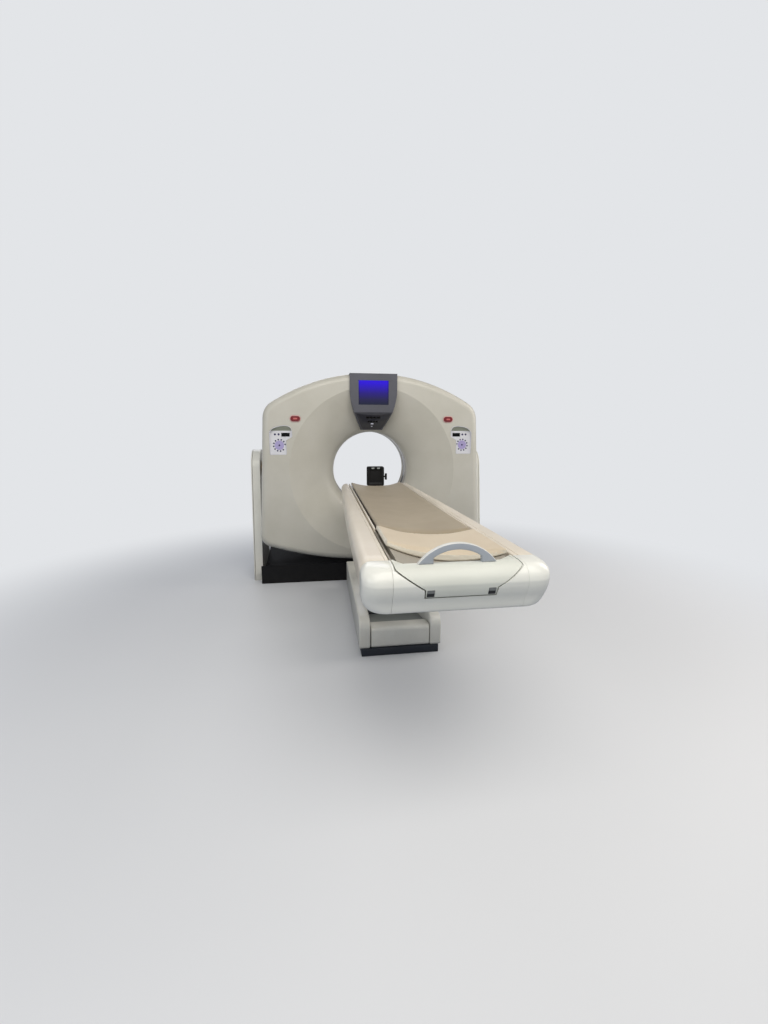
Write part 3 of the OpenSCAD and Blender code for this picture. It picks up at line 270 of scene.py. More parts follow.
def coated_cloth(name, base, other, rough):
    """Polyurethane-coated knit: fine leather-like grain, soft creases and a little drift."""
    material, tree, where = begin(name)
    patches = add(tree, "ShaderNodeTexNoise", {"Scale": 5, "Detail": 5, "Roughness": 0.6},
                  {"Vector": where})
    # Grain cells about 3 mm across, drawn coarser than the real 1 mm so that they show
    grain = add(tree, "ShaderNodeTexVoronoi", {"Scale": 330}, {"Vector": where}, feature="F1")
    # Soft creases across the pad, 60 to 90 mm apart
    long_way = add(tree, "ShaderNodeMapping", {"Scale": (3, 14, 3)}, {"Vector": where})
    crease = add(tree, "ShaderNodeTexNoise", {"Scale": 1, "Detail": 2, "Distortion": 0.4},
                 {"Vector": long_way.outputs["Vector"]})
    tint = add(tree, "ShaderNodeValToRGB", links={"Fac": patches.outputs["Fac"]})
    ramp_stops(tint, [(0.32, hex_rgb(base)), (0.7, hex_rgb(other))])
    fine = add(tree, "ShaderNodeBump", {"Strength": 0.12, "Distance": 0.0005},
               {"Height": grain.outputs["Distance"]})
    folds = add(tree, "ShaderNodeBump", {"Strength": 0.35, "Distance": 0.004},
                {"Height": crease.outputs["Fac"], "Normal": fine.outputs["Normal"]})
    shine = add(tree, "ShaderNodeMapRange", {"To Min": rough - 0.06, "To Max": rough + 0.06},
                {"Value": patches.outputs["Fac"]})
    body = add(tree, "ShaderNodeBsdfPrincipled",
               {"Sheen Weight": 0.15, "Sheen Roughness": 0.5, "IOR": 1.46},
               {"Base Color": tint.outputs["Color"], "Roughness": shine.outputs["Result"],
                "Normal": folds.outputs["Normal"]})
    add(tree, "ShaderNodeOutputMaterial", links={"Surface": body.outputs["BSDF"]})
    return material


def carbon_weave():
    """Carbon fibre skin under clear lacquer: dark twill with 8 mm tows."""
    material, tree, where = begin("carbon_fibre_twill")
    turned = add(tree, "ShaderNodeMapping", {"Rotation": (0, 0, math.radians(45))}, {"Vector": where})
    tows = add(tree, "ShaderNodeTexChecker", {"Scale": 125, "Color1": hex_rgb("#26282b"),
               "Color2": hex_rgb("#1b1c1f")}, {"Vector": turned.outputs["Vector"]})
    wear = add(tree, "ShaderNodeTexNoise", {"Scale": 30, "Detail": 4}, {"Vector": where})
    shine = add(tree, "ShaderNodeMapRange", {"To Min": 0.32, "To Max": 0.46},
                {"Value": wear.outputs["Fac"]})
    relief = add(tree, "ShaderNodeBump", {"Strength": 0.08, "Distance": 0.0003},
                 {"Height": tows.outputs["Fac"]})
    body = add(tree, "ShaderNodeBsdfPrincipled",
               {"Coat Weight": 0.6, "Coat Roughness": 0.1, "IOR": 1.5},
               {"Base Color": tows.outputs["Color"], "Roughness": shine.outputs["Result"],
                "Normal": relief.outputs["Normal"]})
    add(tree, "ShaderNodeOutputMaterial", links={"Surface": body.outputs["BSDF"]})
    return material


screen_lit = screen_glass()
lamp_white = lamp_glass()
mattress_cloth = coated_cloth("coated_knit_khaki", "#9f927b", "#968972", 0.5)
foot_pad_cloth = coated_cloth("coated_knit_cream", "#ccbea7", "#c5b69e", 0.48)
foot_pad_edge = coated_cloth("coated_knit_off_white", "#cfc9ba", "#c8c1b0", 0.48)
carbon = carbon_weave()

NODE_FINISH = {
    table_paint: "column_left column_right under_pan",
    bronze: "trunnion_bush_left trunnion_bush_right",
    hood_abs: "base_hood", frame_paint: "base_frame tilt_frame rotor_drum heat_exchanger "
    "lift_arm_rear lift_arm_front top_frame",
    steel: "base_pins top_pins bearing_outer bearing_inner cradle_track",
    liner_grp: "bore_liner", window_acrylic: "readouts scan_window",
    screen_lit: "display_screen",
    enamel: "xray_tube hv_generator", base_coat: "collimator counterweight",
    detector_abs: "detector_array", brass: "slip_ring",
}
for material, names in NODE_FINISH.items():
    for name in names.split():
        NODES[name].data.materials.clear()
        NODES[name].data.materials.append(material)

# ---------------------------------------------------------------- making pieces


def rise(bm, ring, places):
    """Extrude a loop of vertices through each list of places; return the last loop."""
    for points in places:
        edges = [bm.edges.get((a, b)) for a, b in zip(ring, ring[1:] + ring[:1])]
        made = bmesh.ops.extrude_edge_only(bm, edges=edges)["geom"]
        fresh = {v for v in made if isinstance(v, bmesh.types.BMVert)}
        ring = [next(e.other_vert(v) for e in v.link_edges if e.other_vert(v) in fresh) for v in ring]
        for vert, point in zip(ring, points):
            vert.co = point
    return ring


def start_ring(bm, points):
    """A closed loop of edges through the points."""
    made = bmesh.ops.create_circle(bm, segments=len(points), radius=1, cap_ends=False)
    verts = made["verts"]
    for vert, point in zip(verts, points):
        vert.co = point
    return verts


def loft(loops, cap_start=True, cap_end=True):
    """A skin through loops with equal numbers of points."""
    bm = bmesh.new()
    first = start_ring(bm, loops[0])
    last = rise(bm, list(first), loops[1:])
    if cap_start:
        bm.faces.new(list(reversed(first)))
    if cap_end:
        bm.faces.new(last)
    bmesh.ops.recalc_face_normals(bm, faces=bm.faces)
    return bm


def round_edges(bm, edges, width, segments=3):
    """Bevel some edges round."""
    bmesh.ops.bevel(bm, geom=edges, offset=width, offset_type="OFFSET", segments=segments,
                    profile=0.5, affect="EDGES", clamp_overlap=True, material=-1)


def sharp_edges(bm, degrees=40):
    """Edges whose two faces turn by more than an angle."""
    return [e for e in bm.edges if len(e.link_faces) == 2
            and e.calc_face_angle(0) > math.radians(degrees)]


def quarter(cx, cz, rx, rz, start, end, steps):
    """Part of an ellipse, in quarter turns, as points of the plane."""
    return [(cx + rx * math.cos(math.pi / 2 * a), cz + rz * math.sin(math.pi / 2 * a))
            for a in (start + (end - start) * i / steps for i in range(steps + 1))]


def rounded(outline, radius):
    """An outline with its sharp corners rounded."""
    made, count, steps = [], len(outline), 5
    for i in range(count):
        before, here, after = (Vector(outline[(i + k) % count]) for k in (-1, 0, 1))
        one, two = before - here, after - here
        turn = math.pi - one.angle(two)
        if turn < 0.4:
            made.append(tuple(here))
            continue
        reach = min(radius * math.tan(turn / 2), one.length * 0.45, two.length * 0.45)
        start, end = here + one.normalized() * reach, here + two.normalized() * reach
        for t in (k / steps for k in range(steps + 1)):
            made.append(tuple(start * (1 - t) ** 2 + here * 2 * t * (1 - t) + end * t * t))
    return made


def slab(outline, low, high, axis, corner=0, corner_steps=4, rim=0, rim_steps=3):
    """A flat outline drawn out along an axis, with its corners and its rims rounded.

    The outline holds (x, z) for axis Y and (y, z) for axis X."""
    bm = bmesh.new()
    across = axis == "X"
    bm.faces.new([bm.verts.new((low, a, b) if across else (a, low, b)) for a, b in outline])
    if corner:
        bmesh.ops.bevel(bm, geom=bm.verts[:], offset=corner, offset_type="OFFSET",
                        segments=corner_steps, profile=0.5, affect="VERTICES",
                        clamp_overlap=True, material=-1)
    made = bmesh.ops.extrude_face_region(bm, geom=bm.faces[:])["geom"]
    along = (high - low, 0, 0) if across else (0, high - low, 0)
    bmesh.ops.translate(bm, vec=along, verts=[v for v in made if isinstance(v, bmesh.types.BMVert)])
    bmesh.ops.recalc_face_normals(bm, faces=bm.faces)
    if rim:
        flat = 0 if across else 1
        ends = [e for e in bm.edges if abs(e.verts[0].co[flat] - e.verts[1].co[flat]) < 0.01]
        round_edges(bm, ends, rim, rim_steps)
    return bm


def box_slab(x0, x1, y0, y1, z0, z1, rim=0):
    """A box with softened edges."""
    bm = slab([(x0, z0), (x1, z0), (x1, z1), (x0, z1)], y0, y1, "Y")
    if rim:
        round_edges(bm, bm.edges[:], rim)
    return bm


def turned(profile, centre, axis, steps):
    """Spin a profile of (radius, place along the axis) about an axis through the centre."""
    bm = bmesh.new()
    arm, line = Vector((1, 0, 0)), Vector((0, 1, 0))
    if axis == "X":
        arm, line = Vector((0, 0, 1)), Vector((1, 0, 0))
    verts = [bm.verts.new(Vector(centre) + arm * r + line * s) for r, s in profile]
    edges = [bm.edges.new(pair) for pair in zip(verts, verts[1:])]
    bmesh.ops.spin(bm, geom=verts + edges, cent=centre, axis=line, dvec=(0, 0, 0),
                   angle=2 * math.pi, steps=steps, use_merge=True, use_duplicate=False)
    bmesh.ops.remove_doubles(bm, verts=bm.verts, dist=0.01)
    bmesh.ops.recalc_face_normals(bm, faces=bm.faces)
    return bm


def mirrored(bm):
    """Turn a piece into its mirror image across the middle plane."""
    bmesh.ops.scale(bm, vec=(-1, 1, 1), verts=bm.verts)
    bmesh.ops.reverse_faces(bm, faces=bm.faces)
    return bm


SIDES = (("right", False), ("left", True))


def sided(bm, flip):
    """A right-hand shape as it is, or its mirror image for the left."""
    return mirrored(bm) if flip else bm


def both_sides(make):
    """The right-hand shape and its mirror image, made one after the other."""
    return [sided(make(), flip) for _, flip in SIDES]


def node_box(name):
    """Corners of a CAD node's box, in millimetres."""
    return [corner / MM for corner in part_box(name)]


def flag_sharp(bm, degrees):
    """Mark the edges that turn by more than an angle as sharp."""
    for edge in bm.edges:
        edge.smooth = not (len(edge.link_faces) == 2
                           and edge.calc_face_angle(0) > math.radians(degrees))


def piece(name, bm, material, smooth=38):
    """Make a finished object from a mesh drawn in millimetres."""
    bmesh.ops.scale(bm, vec=(MM, MM, MM), verts=bm.verts)
    for face in bm.faces:
        face.smooth = True
    flag_sharp(bm, smooth)
    mesh = bpy.data.meshes.new(name)
    bm.to_mesh(mesh)
    bm.free()
    made = bpy.data.objects.new(name, mesh)
    bpy.context.scene.collection.objects.link(made)
    mesh.materials.append(material)
    return made


def freeze(made):
    """Turn a piece's modifiers into its mesh."""
    seen = made.evaluated_get(bpy.context.evaluated_depsgraph_get())
    mesh = bpy.data.meshes.new_from_object(seen)
    made.modifiers.clear()
    made.data = mesh
    return made


def cut(made, *tools, how="DIFFERENCE"):
    """Cut a piece by shapes, given as meshes in millimetres, or keep what lies in them."""
    for number, tool in enumerate(tools):
        knife = piece(f"{made.name}_knife_{number}", tool, made.data.materials[0])
        trim = made.modifiers.new("cut", "BOOLEAN")
        trim.operation = how
        trim.solver = "EXACT"
        trim.object = knife
        freeze(made)
        bpy.data.objects.remove(knife)
    return made


def shade(made, degrees=30):
    """Mark a cut piece's sharp edges again and let its large faces set the shading."""
    bm = bmesh.new()
    bm.from_mesh(made.data)
    for face in bm.faces:
        face.smooth = True
    flag_sharp(bm, degrees)
    bm.to_mesh(made.data)
    bm.free()
    even = made.modifiers.new("even_light", "WEIGHTED_NORMAL")
    even.keep_sharp = True
    even.weight = 100
    return freeze(made)


def soften(made, width, steps):
    """Round the sharp edges that the cuts left."""
    bevel = made.modifiers.new("soft_edges", "BEVEL")
    bevel.limit_method = "ANGLE"
    bevel.angle_limit = math.radians(35)
    bevel.width = width * MM
    bevel.segments = steps
    freeze(made)
    return shade(made, 40)


def two_tone(made, other, chosen):
    """Give a second finish to the faces that a test picks by normal and middle."""
    made.data.materials.append(other)
    for face in made.data.polygons:
        face.material_index = int(chosen(face.normal, face.center / MM))
    return made


def stands_for(made, body, *nodes, slot=None):
    """Seat a piece on its body and let it stand for CAD nodes."""
    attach(made, body)
    if nodes:
        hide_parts(*nodes)
    return made


# ---------------------------------------------------------------- gantry covers
# Sizes in millimetres, the same as the solids'.
ISO_H = 1031
COVER_HALF = 981
LEAN = math.radians(3.3)
CROWN = (1650, 237)
BELLY = (3000, 3210)
SHOULDER_R = 170
FOOT_R = 110
EDGE_R = 60
COVER_T = 5
FRONT_Y = -500
REAR_Y = 500
FRONT_SEAM = -190
REAR_SEAM = 240
SEAM_GAP = 3
FLARE_R = 740
BORE_R = 350
THROAT_Y = -249
TUNNEL_END = 11
REAR_FLARE_R = 560


def corner_centre(big, small_r, side):
    """Centre of a corner between a big arc and the leaning side wall."""
    start = Vector((COVER_HALF - small_r / math.cos(LEAN), ISO_H - big[1]))
    lean = Vector((-math.sin(LEAN), math.cos(LEAN)))
    b = start.dot(lean)
    c = start.dot(start) - (big[0] - small_r) ** 2
    spot = start + (-b + side * math.sqrt(b * b - c)) * lean
    return spot.x, spot.y + big[1]


SHOULDER = corner_centre(CROWN, SHOULDER_R, 1)
FOOT = corner_centre(BELLY, FOOT_R, -1)
CROWN_END = math.atan2(SHOULDER[1] - CROWN[1], SHOULDER[0])
BELLY_END = math.atan2(FOOT[1] - BELLY[1], FOOT[0])


def arc_stations(centre, radius, start, end, steps):
    """Places along an arc, each with its centre, radius and angle."""
    return [(*centre, radius, start + (end - start) * i / steps) for i in range(steps + 1)]


def cover_stations():
    """Places round the right half of the covers, from the bottom to the top."""
    belly = arc_stations((0, BELLY[1]), BELLY[0], -math.pi / 2, BELLY_END, 22)
    foot = arc_stations(FOOT, FOOT_R, BELLY_END, LEAN, 10)
    shoulder = arc_stations(SHOULDER, SHOULDER_R, LEAN, CROWN_END, 12)
    crown = arc_stations((0, CROWN[1]), CROWN[0], CROWN_END, math.pi / 2, 26)
    return belly, foot, shoulder, crown


WALL_STEPS = 26


def cover_outline(inset=0.0):
    """The covers' outline as (x, z), shrunk by an inset."""
    def spot(s):
        """The point of one station, moved in by the inset."""
        return (s[0] + (s[2] - inset) * math.cos(s[3]), s[1] + (s[2] - inset) * math.sin(s[3]))
    belly, foot, shoulder, crown = cover_stations()
    right = [spot(s) for s in belly + foot[1:]]
    low, high = spot(foot[-1]), spot(shoulder[0])
    for i in range(1, WALL_STEPS):
        t = i / WALL_STEPS
        right.append((low[0] + (high[0] - low[0]) * t, low[1] + (high[1] - low[1]) * t))
    right += [spot(s) for s in shoulder + crown[1:]]
    left = [(-x, z) for x, z in reversed(right[1:-1])]
    return right + left


BEARINGS = [math.atan2(z - ISO_H, x) for x, z in cover_outline(EDGE_R)]


def outline_ring(inset, y):
    """The covers' outline as a loop at one depth."""
    return [(x, y, z) for x, z in cover_outline(inset)]


def round_ring(radius, y):
    """A circle about the bore whose points face those of the outline."""
    return [(radius * math.cos(a), y, ISO_H + radius * math.sin(a)) for a in BEARINGS]


def rounded_rim(face_y, inward):
    """Loops of the rounded edge, from the side wall to the flat face."""
    rings, steps = [], 8
    for i in range(1, steps + 1):
        a = math.pi / 2 * i / steps
        back = inward * EDGE_R * (1 - math.sin(a))
        rings.append(outline_ring(EDGE_R * (1 - math.cos(a)), face_y + back))
    return rings


def flare_point(t):
    """Curve of the front flare, from the crease to the throat."""
    middle = (BORE_R + 40, FRONT_Y + (FLARE_R - BORE_R - 40) * 0.36)
    a, b, c = (1 - t) ** 2, 2 * t * (1 - t), t * t
    return a * FLARE_R + b * middle[0] + c * BORE_R, a * FRONT_Y + b * middle[1] + c * THROAT_Y


def rear_point(t):
    """Curve of the rear flare, from the tunnel's end to the rear face."""
    return (BORE_R + (REAR_FLARE_R - BORE_R) * (0.55 * t + 0.45 * t * t),
            TUNNEL_END + (REAR_Y - TUNNEL_END) * t)


def walled(made):
    """Give an open skin the covers' wall, inwards."""
    skin = made.modifiers.new("wall", "SOLIDIFY")
    skin.thickness = COVER_T * MM
    skin.offset = -1
    skin.use_even_offset = True
    return freeze(made)


def open_skin(loops):
    """A skin through loops, open at both ends, whose first faces look away from the bore's middle."""
    bm = loft(loops, cap_start=False, cap_end=False)
    bm.faces.ensure_lookup_table()
    first = bm.faces[0]
    if first.normal.dot(first.calc_center_median() - Vector((0, 0, ISO_H))) <= 0:
        bmesh.ops.reverse_faces(bm, faces=bm.faces)
    return bm


def moulded(name, loops):
    """A cover: loops from its seam over its edge and face into the bore, with a wall inside."""
    return walled(piece(name, open_skin(loops), cover_paint, smooth=30))


# Control panels and stops, as (x, z) outlines on the right side
PANEL_FOOT_Z = 1187
PANEL_STEP_X, PANEL_OUT_X = 757, 899
PANEL_ARCH = [(899, 1380), (883, 1401), (857, 1420), (815, 1432), (769, 1437), (733, 1431), (713, 1415),
              (705, 1395)]
STOP_PLACE = (675, 1494)
STOP_W, STOP_H = 96, 60


def shrink(outline, by):
    """Move each corner of an outline inwards by the same distance."""
    count = len(outline)
    shrunk = []
    for i in range(count):
        before, here, after = (Vector(outline[(i + k) % count]) for k in (-1, 0, 1))
        one, two = (here - before).normalized(), (after - here).normalized()
        n1, n2 = Vector((-one.y, one.x)), Vector((-two.y, two.x))
        shrunk.append(tuple(here + (n1 + n2) * (by / (1 + n1.dot(n2)))))
    return shrunk


def oval(w, h):
    """A pill outline about its middle."""
    r, steps = h / 2, 16
    right = [(w / 2 - r + r * math.cos(a), r * math.sin(a))
             for a in (math.pi * (i / steps - 0.5) for i in range(steps + 1))]
    return right + [(-x, -z) for x, z in right]


def at_stop(w, h):
    """A pill outline at the right stop's place."""
    return [(STOP_PLACE[0] + x, STOP_PLACE[1] + z) for x, z in oval(w, h)]


def smooth_run(points, parts):
    """Points on a smooth curve through the given ones."""
    run = []
    for p, q, r, s in zip([points[0]] + points, points, points[1:], points[2:] + [points[-1]]):
        for t in (i / parts for i in range(parts)):
            run.append(tuple(((2 * b) + (c - a) * t + (2 * a - 5 * b + 4 * c - d) * t * t
                              + (3 * b - a - 3 * c + d) * t ** 3) / 2 for a, b, c, d in zip(p, q, r, s)))
    return run + [points[-1]]


def panel_outline(inset=0.0):
    """Outline of a control panel: arched top, a step on the inner side, rounded corners."""
    sharp = ([(PANEL_STEP_X, PANEL_FOOT_Z), (PANEL_OUT_X, PANEL_FOOT_Z)] + smooth_run(PANEL_ARCH, 3)
             + [(PANEL_ARCH[-1][0], 1340), (PANEL_STEP_X, 1310)])
    return rounded(shrink(sharp, inset), 10 - inset)


def front_knives():
    """What the panels and the stops cut out of the front cover."""
    return [sided(slab(outline, FRONT_Y - 30, FRONT_Y + 45, "Y"), flip) for _, flip in SIDES
            for outline in (panel_outline(-0.8), at_stop(STOP_W + 1.6, STOP_H + 1.6))]


FLARE_STEPS = 26
front_loops = ([outline_ring(0, FRONT_SEAM - (FRONT_SEAM - FRONT_Y - EDGE_R) * i / 3) for i in range(4)]
               + rounded_rim(FRONT_Y, 1)
               + [round_ring(FLARE_R + 1.5, FRONT_Y)]
               + [round_ring(*flare_point(i / FLARE_STEPS)) for i in range(FLARE_STEPS + 1)]
               + [round_ring(BORE_R, THROAT_Y + 6)])
front_cover = shade(cut(moulded("front_cover_moulding", front_loops), *front_knives()))
stands_for(front_cover, "gantry", "front_cover", slot="cover_paint")

REAR_STEPS = 20
rear_loops = ([outline_ring(0, REAR_SEAM + (REAR_Y - EDGE_R - REAR_SEAM) * i / 3) for i in range(4)]
              + rounded_rim(REAR_Y, -1)
              + [round_ring(REAR_FLARE_R + 4, REAR_Y)]
              + [round_ring(*rear_point(1 - i / REAR_STEPS)) for i in range(REAR_STEPS + 1)]
              + [round_ring(BORE_R, TUNNEL_END - 2)])
rear_cover = shade(moulded("rear_cover_moulding", rear_loops))
stands_for(rear_cover, "gantry", "rear_cover", slot="cover_paint")


def side_band():
    """Half of the side and top cover, from the middle line round to the middle line."""
    bm = open_skin([outline_ring(0, y) for y in (FRONT_SEAM + SEAM_GAP, 0, REAR_SEAM - SEAM_GAP)])
    geom = bm.verts[:] + bm.edges[:] + bm.faces[:]
    bmesh.ops.bisect_plane(bm, geom=geom, plane_co=(SEAM_GAP / 2, 0, 0), plane_no=(1, 0, 0),
                           clear_inner=True)
    return bm


# Hole for the trunnion in each side cover: its radius, and what it is cut from and to
TRUNNION_R = 75
HOLE_IN, HOLE_OUT = 860, 1200
for side, flip in SIDES:
    band = sided(side_band(), flip)
    profile = [(0, HOLE_IN), (TRUNNION_R, HOLE_IN), (TRUNNION_R, HOLE_OUT), (0, HOLE_OUT)]
    hole = turned(profile, (0, 0, ISO_H), "X", 64)
    cover = walled(piece(f"side_cover_moulding_{side}", band, cover_paint, smooth=30))
    shade(cut(cover, sided(hole, flip)))
    stands_for(cover, "gantry", f"side_cover_{side}", slot="cover_paint")

# ---------------------------------------------------------------- display
SHIELD_FOOT_Z = ISO_H + 381
SHIELD_TOP_Z = 1877
SHIELD_FRONT = -522
SHIELD_BACK = -290
# Where its top begins to slope back down
SHIELD_TOP_BACK = -438
# Half width at the foot, how much is added above it, and over what height
SHIELD_FOOT_HALF, SHIELD_SPREAD, SPREAD_H = 98, 108, 335
# The opening for the screen
SCREEN_HALF, SCREEN_FOOT_Z, SCREEN_TOP_Z = 131, 1615, 1819
SHIELD_BREAK_Z = 1551
SLOPE_OUT = Vector((0, -151, -160)).normalized()
SLOPE_EDGE = Vector((0, SHIELD_FRONT, SHIELD_BREAK_Z))


def shield_half(z):
    """Half width of the shield at a height."""
    t = min(max((z - SHIELD_FOOT_Z) / SPREAD_H, 0), 1)
    return SHIELD_FOOT_HALF + SHIELD_SPREAD * math.sin(math.pi / 2 * t) ** 0.88


SHIELD_STEPS = 24


def shield_outline(foot, top, inset=0.0):
    """The shield's outline between two heights, up the right side and down the left."""
    heights = [foot + (top - foot) * i / SHIELD_STEPS for i in range(SHIELD_STEPS + 1)]
    right = [(shield_half(z) - inset, z) for z in heights]
    return right + [(-x, z) for x, z in reversed(right)]


def clip(bm, spot, outward):
    """Cut a solid by a plane, drop what lies outside it and close the cut."""
    geom = bm.verts[:] + bm.edges[:] + bm.faces[:]
    made = bmesh.ops.bisect_plane(bm, geom=geom, plane_co=spot, plane_no=outward, clear_outer=True)
    rim = [e for e in made["geom_cut"] if isinstance(e, bmesh.types.BMEdge)]
    bmesh.ops.holes_fill(bm, edges=rim, sides=0)
    bmesh.ops.recalc_face_normals(bm, faces=bm.faces)
    return bm


shield = slab(shield_outline(SHIELD_FOOT_Z - 12, SHIELD_TOP_Z), SHIELD_FRONT, SHIELD_BACK, "Y")
clip(shield, SLOPE_EDGE, SLOPE_OUT)
clip(shield, Vector((0, SHIELD_TOP_BACK, SHIELD_TOP_Z)), Vector((0, 1, 0.3)))
front_rim = [e for e in sharp_edges(shield, 20) if max(v.co.y for v in e.verts) < -350]
round_edges(shield, front_rim, 7, 4)
housing = piece("display_surround", shield, shield_abs, smooth=45)
opening = box_slab(-SCREEN_HALF, SCREEN_HALF, SHIELD_FRONT - 8, SHIELD_FRONT + 6, SCREEN_FOOT_Z,
                   SCREEN_TOP_Z)
shade(cut(housing, opening), 45)
stands_for(housing, "gantry", "display_housing", slot="shield_grey")


def gather(parts):
    """One mesh out of several."""
    whole = bmesh.new()
    for part in parts:
        scrap = bpy.data.meshes.new("scrap")
        part.to_mesh(scrap)
        part.free()
        whole.from_mesh(scrap)
        bpy.data.meshes.remove(scrap)
    return whole


def slope_plate(outline, proud, depth, rim):
    """A flat piece lying on the surround's lower slope."""
    plate = slab(outline, -560, -200, "Y")
    clip(plate, SLOPE_EDGE + SLOPE_OUT * proud, SLOPE_OUT)
    clip(plate, SLOPE_EDGE - SLOPE_OUT * depth, -SLOPE_OUT)
    round_edges(plate, sharp_edges(plate, 30), rim, 2)
    return plate


def trim_outline():
    """The lower trim, whose top edge dips towards its middle."""
    foot, top, deepest = 1404, 1541, 12
    outline = shield_outline(foot, top, 11)
    half = outline[SHIELD_STEPS][0]
    dip = [(half - 2 * half * i / 16, top - deepest * (1 - (1 - i / 8) ** 2)) for i in range(1, 16)]
    return outline[:SHIELD_STEPS + 1] + dip + outline[SHIELD_STEPS + 1:]


fascia = piece("display_lower_trim", slope_plate(trim_outline(), 1.2, 4, 1.0), fascia_acrylic)
stands_for(fascia, "gantry", "display_fascia", slot="fascia_dark")


def window_row(width, height, up):
    """A row of four dark windows on the trim."""
    mid = SHIELD_FOOT_Z + up
    spots = [-width / 2 + part * width / 4 for part in range(4)]
    return [slope_plate([(x + 2, mid - height / 2), (x + width / 4 - 2, mid - height / 2),
                         (x + width / 4 - 2, mid + height / 2), (x + 2, mid + height / 2)], 2.0, 1, 0.6)
            for x in spots]


lamps = piece("display_window_rows", gather(window_row(130, 17, 95) + window_row(100, 14, 60)),
              window_acrylic)
stands_for(lamps, "gantry", "display_lamps", slot="lamp_black")
marks = [slope_plate([(x - 3, z + SHIELD_FOOT_Z + up) for x, z in oval(w, h)], 2.2, 1, 0.6)
         for w, h, up in ((26, 9, 42), (14, 5, 20))]
stands_for(piece("display_status_lamps", gather(marks), lamp_white), "gantry", slot="lamp_black")

# ---------------------------------------------------------------- panels and stops
PANEL_PITCH = math.atan2(22, 205)
BROW_Z = 1392
# Middle of the ring of keys, as (x, z), and the ring's radius
RING_X, RING_Z = 817, 1268
RING_R = 49


def panel_surface(z):
    """Depth of the panel's sloping face at a height."""
    return FRONT_Y + 3 + (z - PANEL_FOOT_Z) * math.tan(PANEL_PITCH)


def pitched(bm, x, z):
    """Lean a flat piece back with the panel's face."""
    bmesh.ops.rotate(bm, cent=(x, panel_surface(z), z), matrix=Matrix.Rotation(-PANEL_PITCH, 3, "X"),
                     verts=bm.verts)
    return bm


def panel_dish():
    """Panel with a slim rim, a face that slopes in towards its top, and a brow that slopes back out."""
    dish = slab(panel_outline(), FRONT_Y - 0.4, FRONT_Y + 40, "Y")
    round_edges(dish, [e for e in sharp_edges(dish, 60) if max(v.co.y for v in e.verts) < FRONT_Y], 1.2, 2)
    hollow = slab(panel_outline(4.5), FRONT_Y - 30, FRONT_Y + 38, "Y")
    face_out = Vector((0, math.cos(PANEL_PITCH), -math.sin(PANEL_PITCH)))
    clip(hollow, Vector((0, panel_surface(BROW_Z), BROW_Z)), face_out)
    clip(hollow, Vector((0, panel_surface(BROW_Z), BROW_Z)), Vector((0, 49, 26)).normalized())
    return dish, hollow


def domed_key(x, z, radius, proud=1.5):
    """A low round key that follows the panel's slope."""
    profile = [(0, -proud), (radius * 0.75, -proud), (radius - 0.4, -proud * 0.7), (radius, 0),
               (radius, 1)]
    return pitched(turned(profile, (x, panel_surface(z), z), "Y", 28), x, z)


def key_set():
    """The right panel's keys: eleven in a ring, one in its middle and two above."""
    turns = [math.radians(i * 30 - 80) for i in range(11)]
    keys = [domed_key(RING_X + RING_R * math.sin(a), RING_Z + RING_R * math.cos(a), 7) for a in turns]
    keys.append(domed_key(RING_X, RING_Z, 8))
    keys += [domed_key(x, 1361, 9, 2) for x in (821, 852)]
    return keys


def disc():
    """The printed disc inside the ring of keys."""
    profile = [(0, -0.5), (39.5, -0.5), (40, 0), (40, 0.6)]
    return pitched(turned(profile, (RING_X, panel_surface(RING_Z), RING_Z), "Y", 48), RING_X, RING_Z)


for side, flip in SIDES:
    body, hollow = (sided(bm, flip) for bm in panel_dish())
    dish = shade(cut(piece(f"control_panel_dish_{side}", body, membrane, smooth=30), hollow))
    # The downward faces above the brow take the olive grey painted shade
    two_tone(dish, brow_painted_shade, lambda n, c: n.z < -0.3 and c.z > BROW_Z and c.y < FRONT_Y + 30)
    stands_for(dish, "gantry", f"control_panel_{side}", slot="panel_pale")
discs = piece("panel_discs", gather(both_sides(disc)), disc_print)
stands_for(discs, "gantry", slot="panel_pale")
key_mesh = gather(key_set() + [mirrored(k) for k in key_set()])
keys = piece("panel_keys", key_mesh, key_print)
stands_for(keys, "gantry", "keypads", slot="key_purple")


# How much smaller a stop's well is across than its ring
STOP_RING = 14


def stop_ring():
    """The ring round a stop, still without its well."""
    return slab(at_stop(STOP_W, STOP_H), FRONT_Y - 3, FRONT_Y + 24, "Y", rim=2.4)


def stop_well():
    """What the push button sits in."""
    return slab(at_stop(STOP_W - STOP_RING, STOP_H - STOP_RING), FRONT_Y - 6, FRONT_Y + 18, "Y")


def stop_button():
    """The push button, 0.3 mm clear of its ring all round."""
    clear = STOP_RING + 0.6
    return slab(at_stop(STOP_W - clear, STOP_H - clear), FRONT_Y - 10, FRONT_Y + 12, "Y", rim=4, rim_steps=5)


rings = cut(piece("stop_surrounds", gather(both_sides(stop_ring)), stop_abs), *both_sides(stop_well))
stands_for(rings, "gantry", "stop_rings", slot="stop_ring")
for side, flip in SIDES:
    button = piece(f"stop_push_{side}", sided(stop_button(), flip), stop_red)
    stands_for(button, f"stop_{side}", f"stop_button_{side}", slot="stop_red")
    bar = slab(at_stop(34, 13), FRONT_Y - 11.2, FRONT_Y - 8, "Y", rim=1.1)
    bar = piece(f"stop_bar_{side}", sided(bar, flip), stop_bar_abs)
    stands_for(bar, f"stop_{side}", slot="stop_red")

# ---------------------------------------------------------------- stand
# The covers that reach the floor stop this far above it
FOOT_CLEAR = 0.5
cap_low, cap_high = node_box("column_cap_right")


def off_floor(bm):
    """Cut a cover off just above the floor."""
    return clip(bm, Vector((0, 0, FOOT_CLEAR)), Vector((0, 0, -1)))




# Side columns: radius of the head, half the foot's length and its height
COLUMN_R, COLUMN_HALF, COLUMN_FOOT = 180, 320, 60


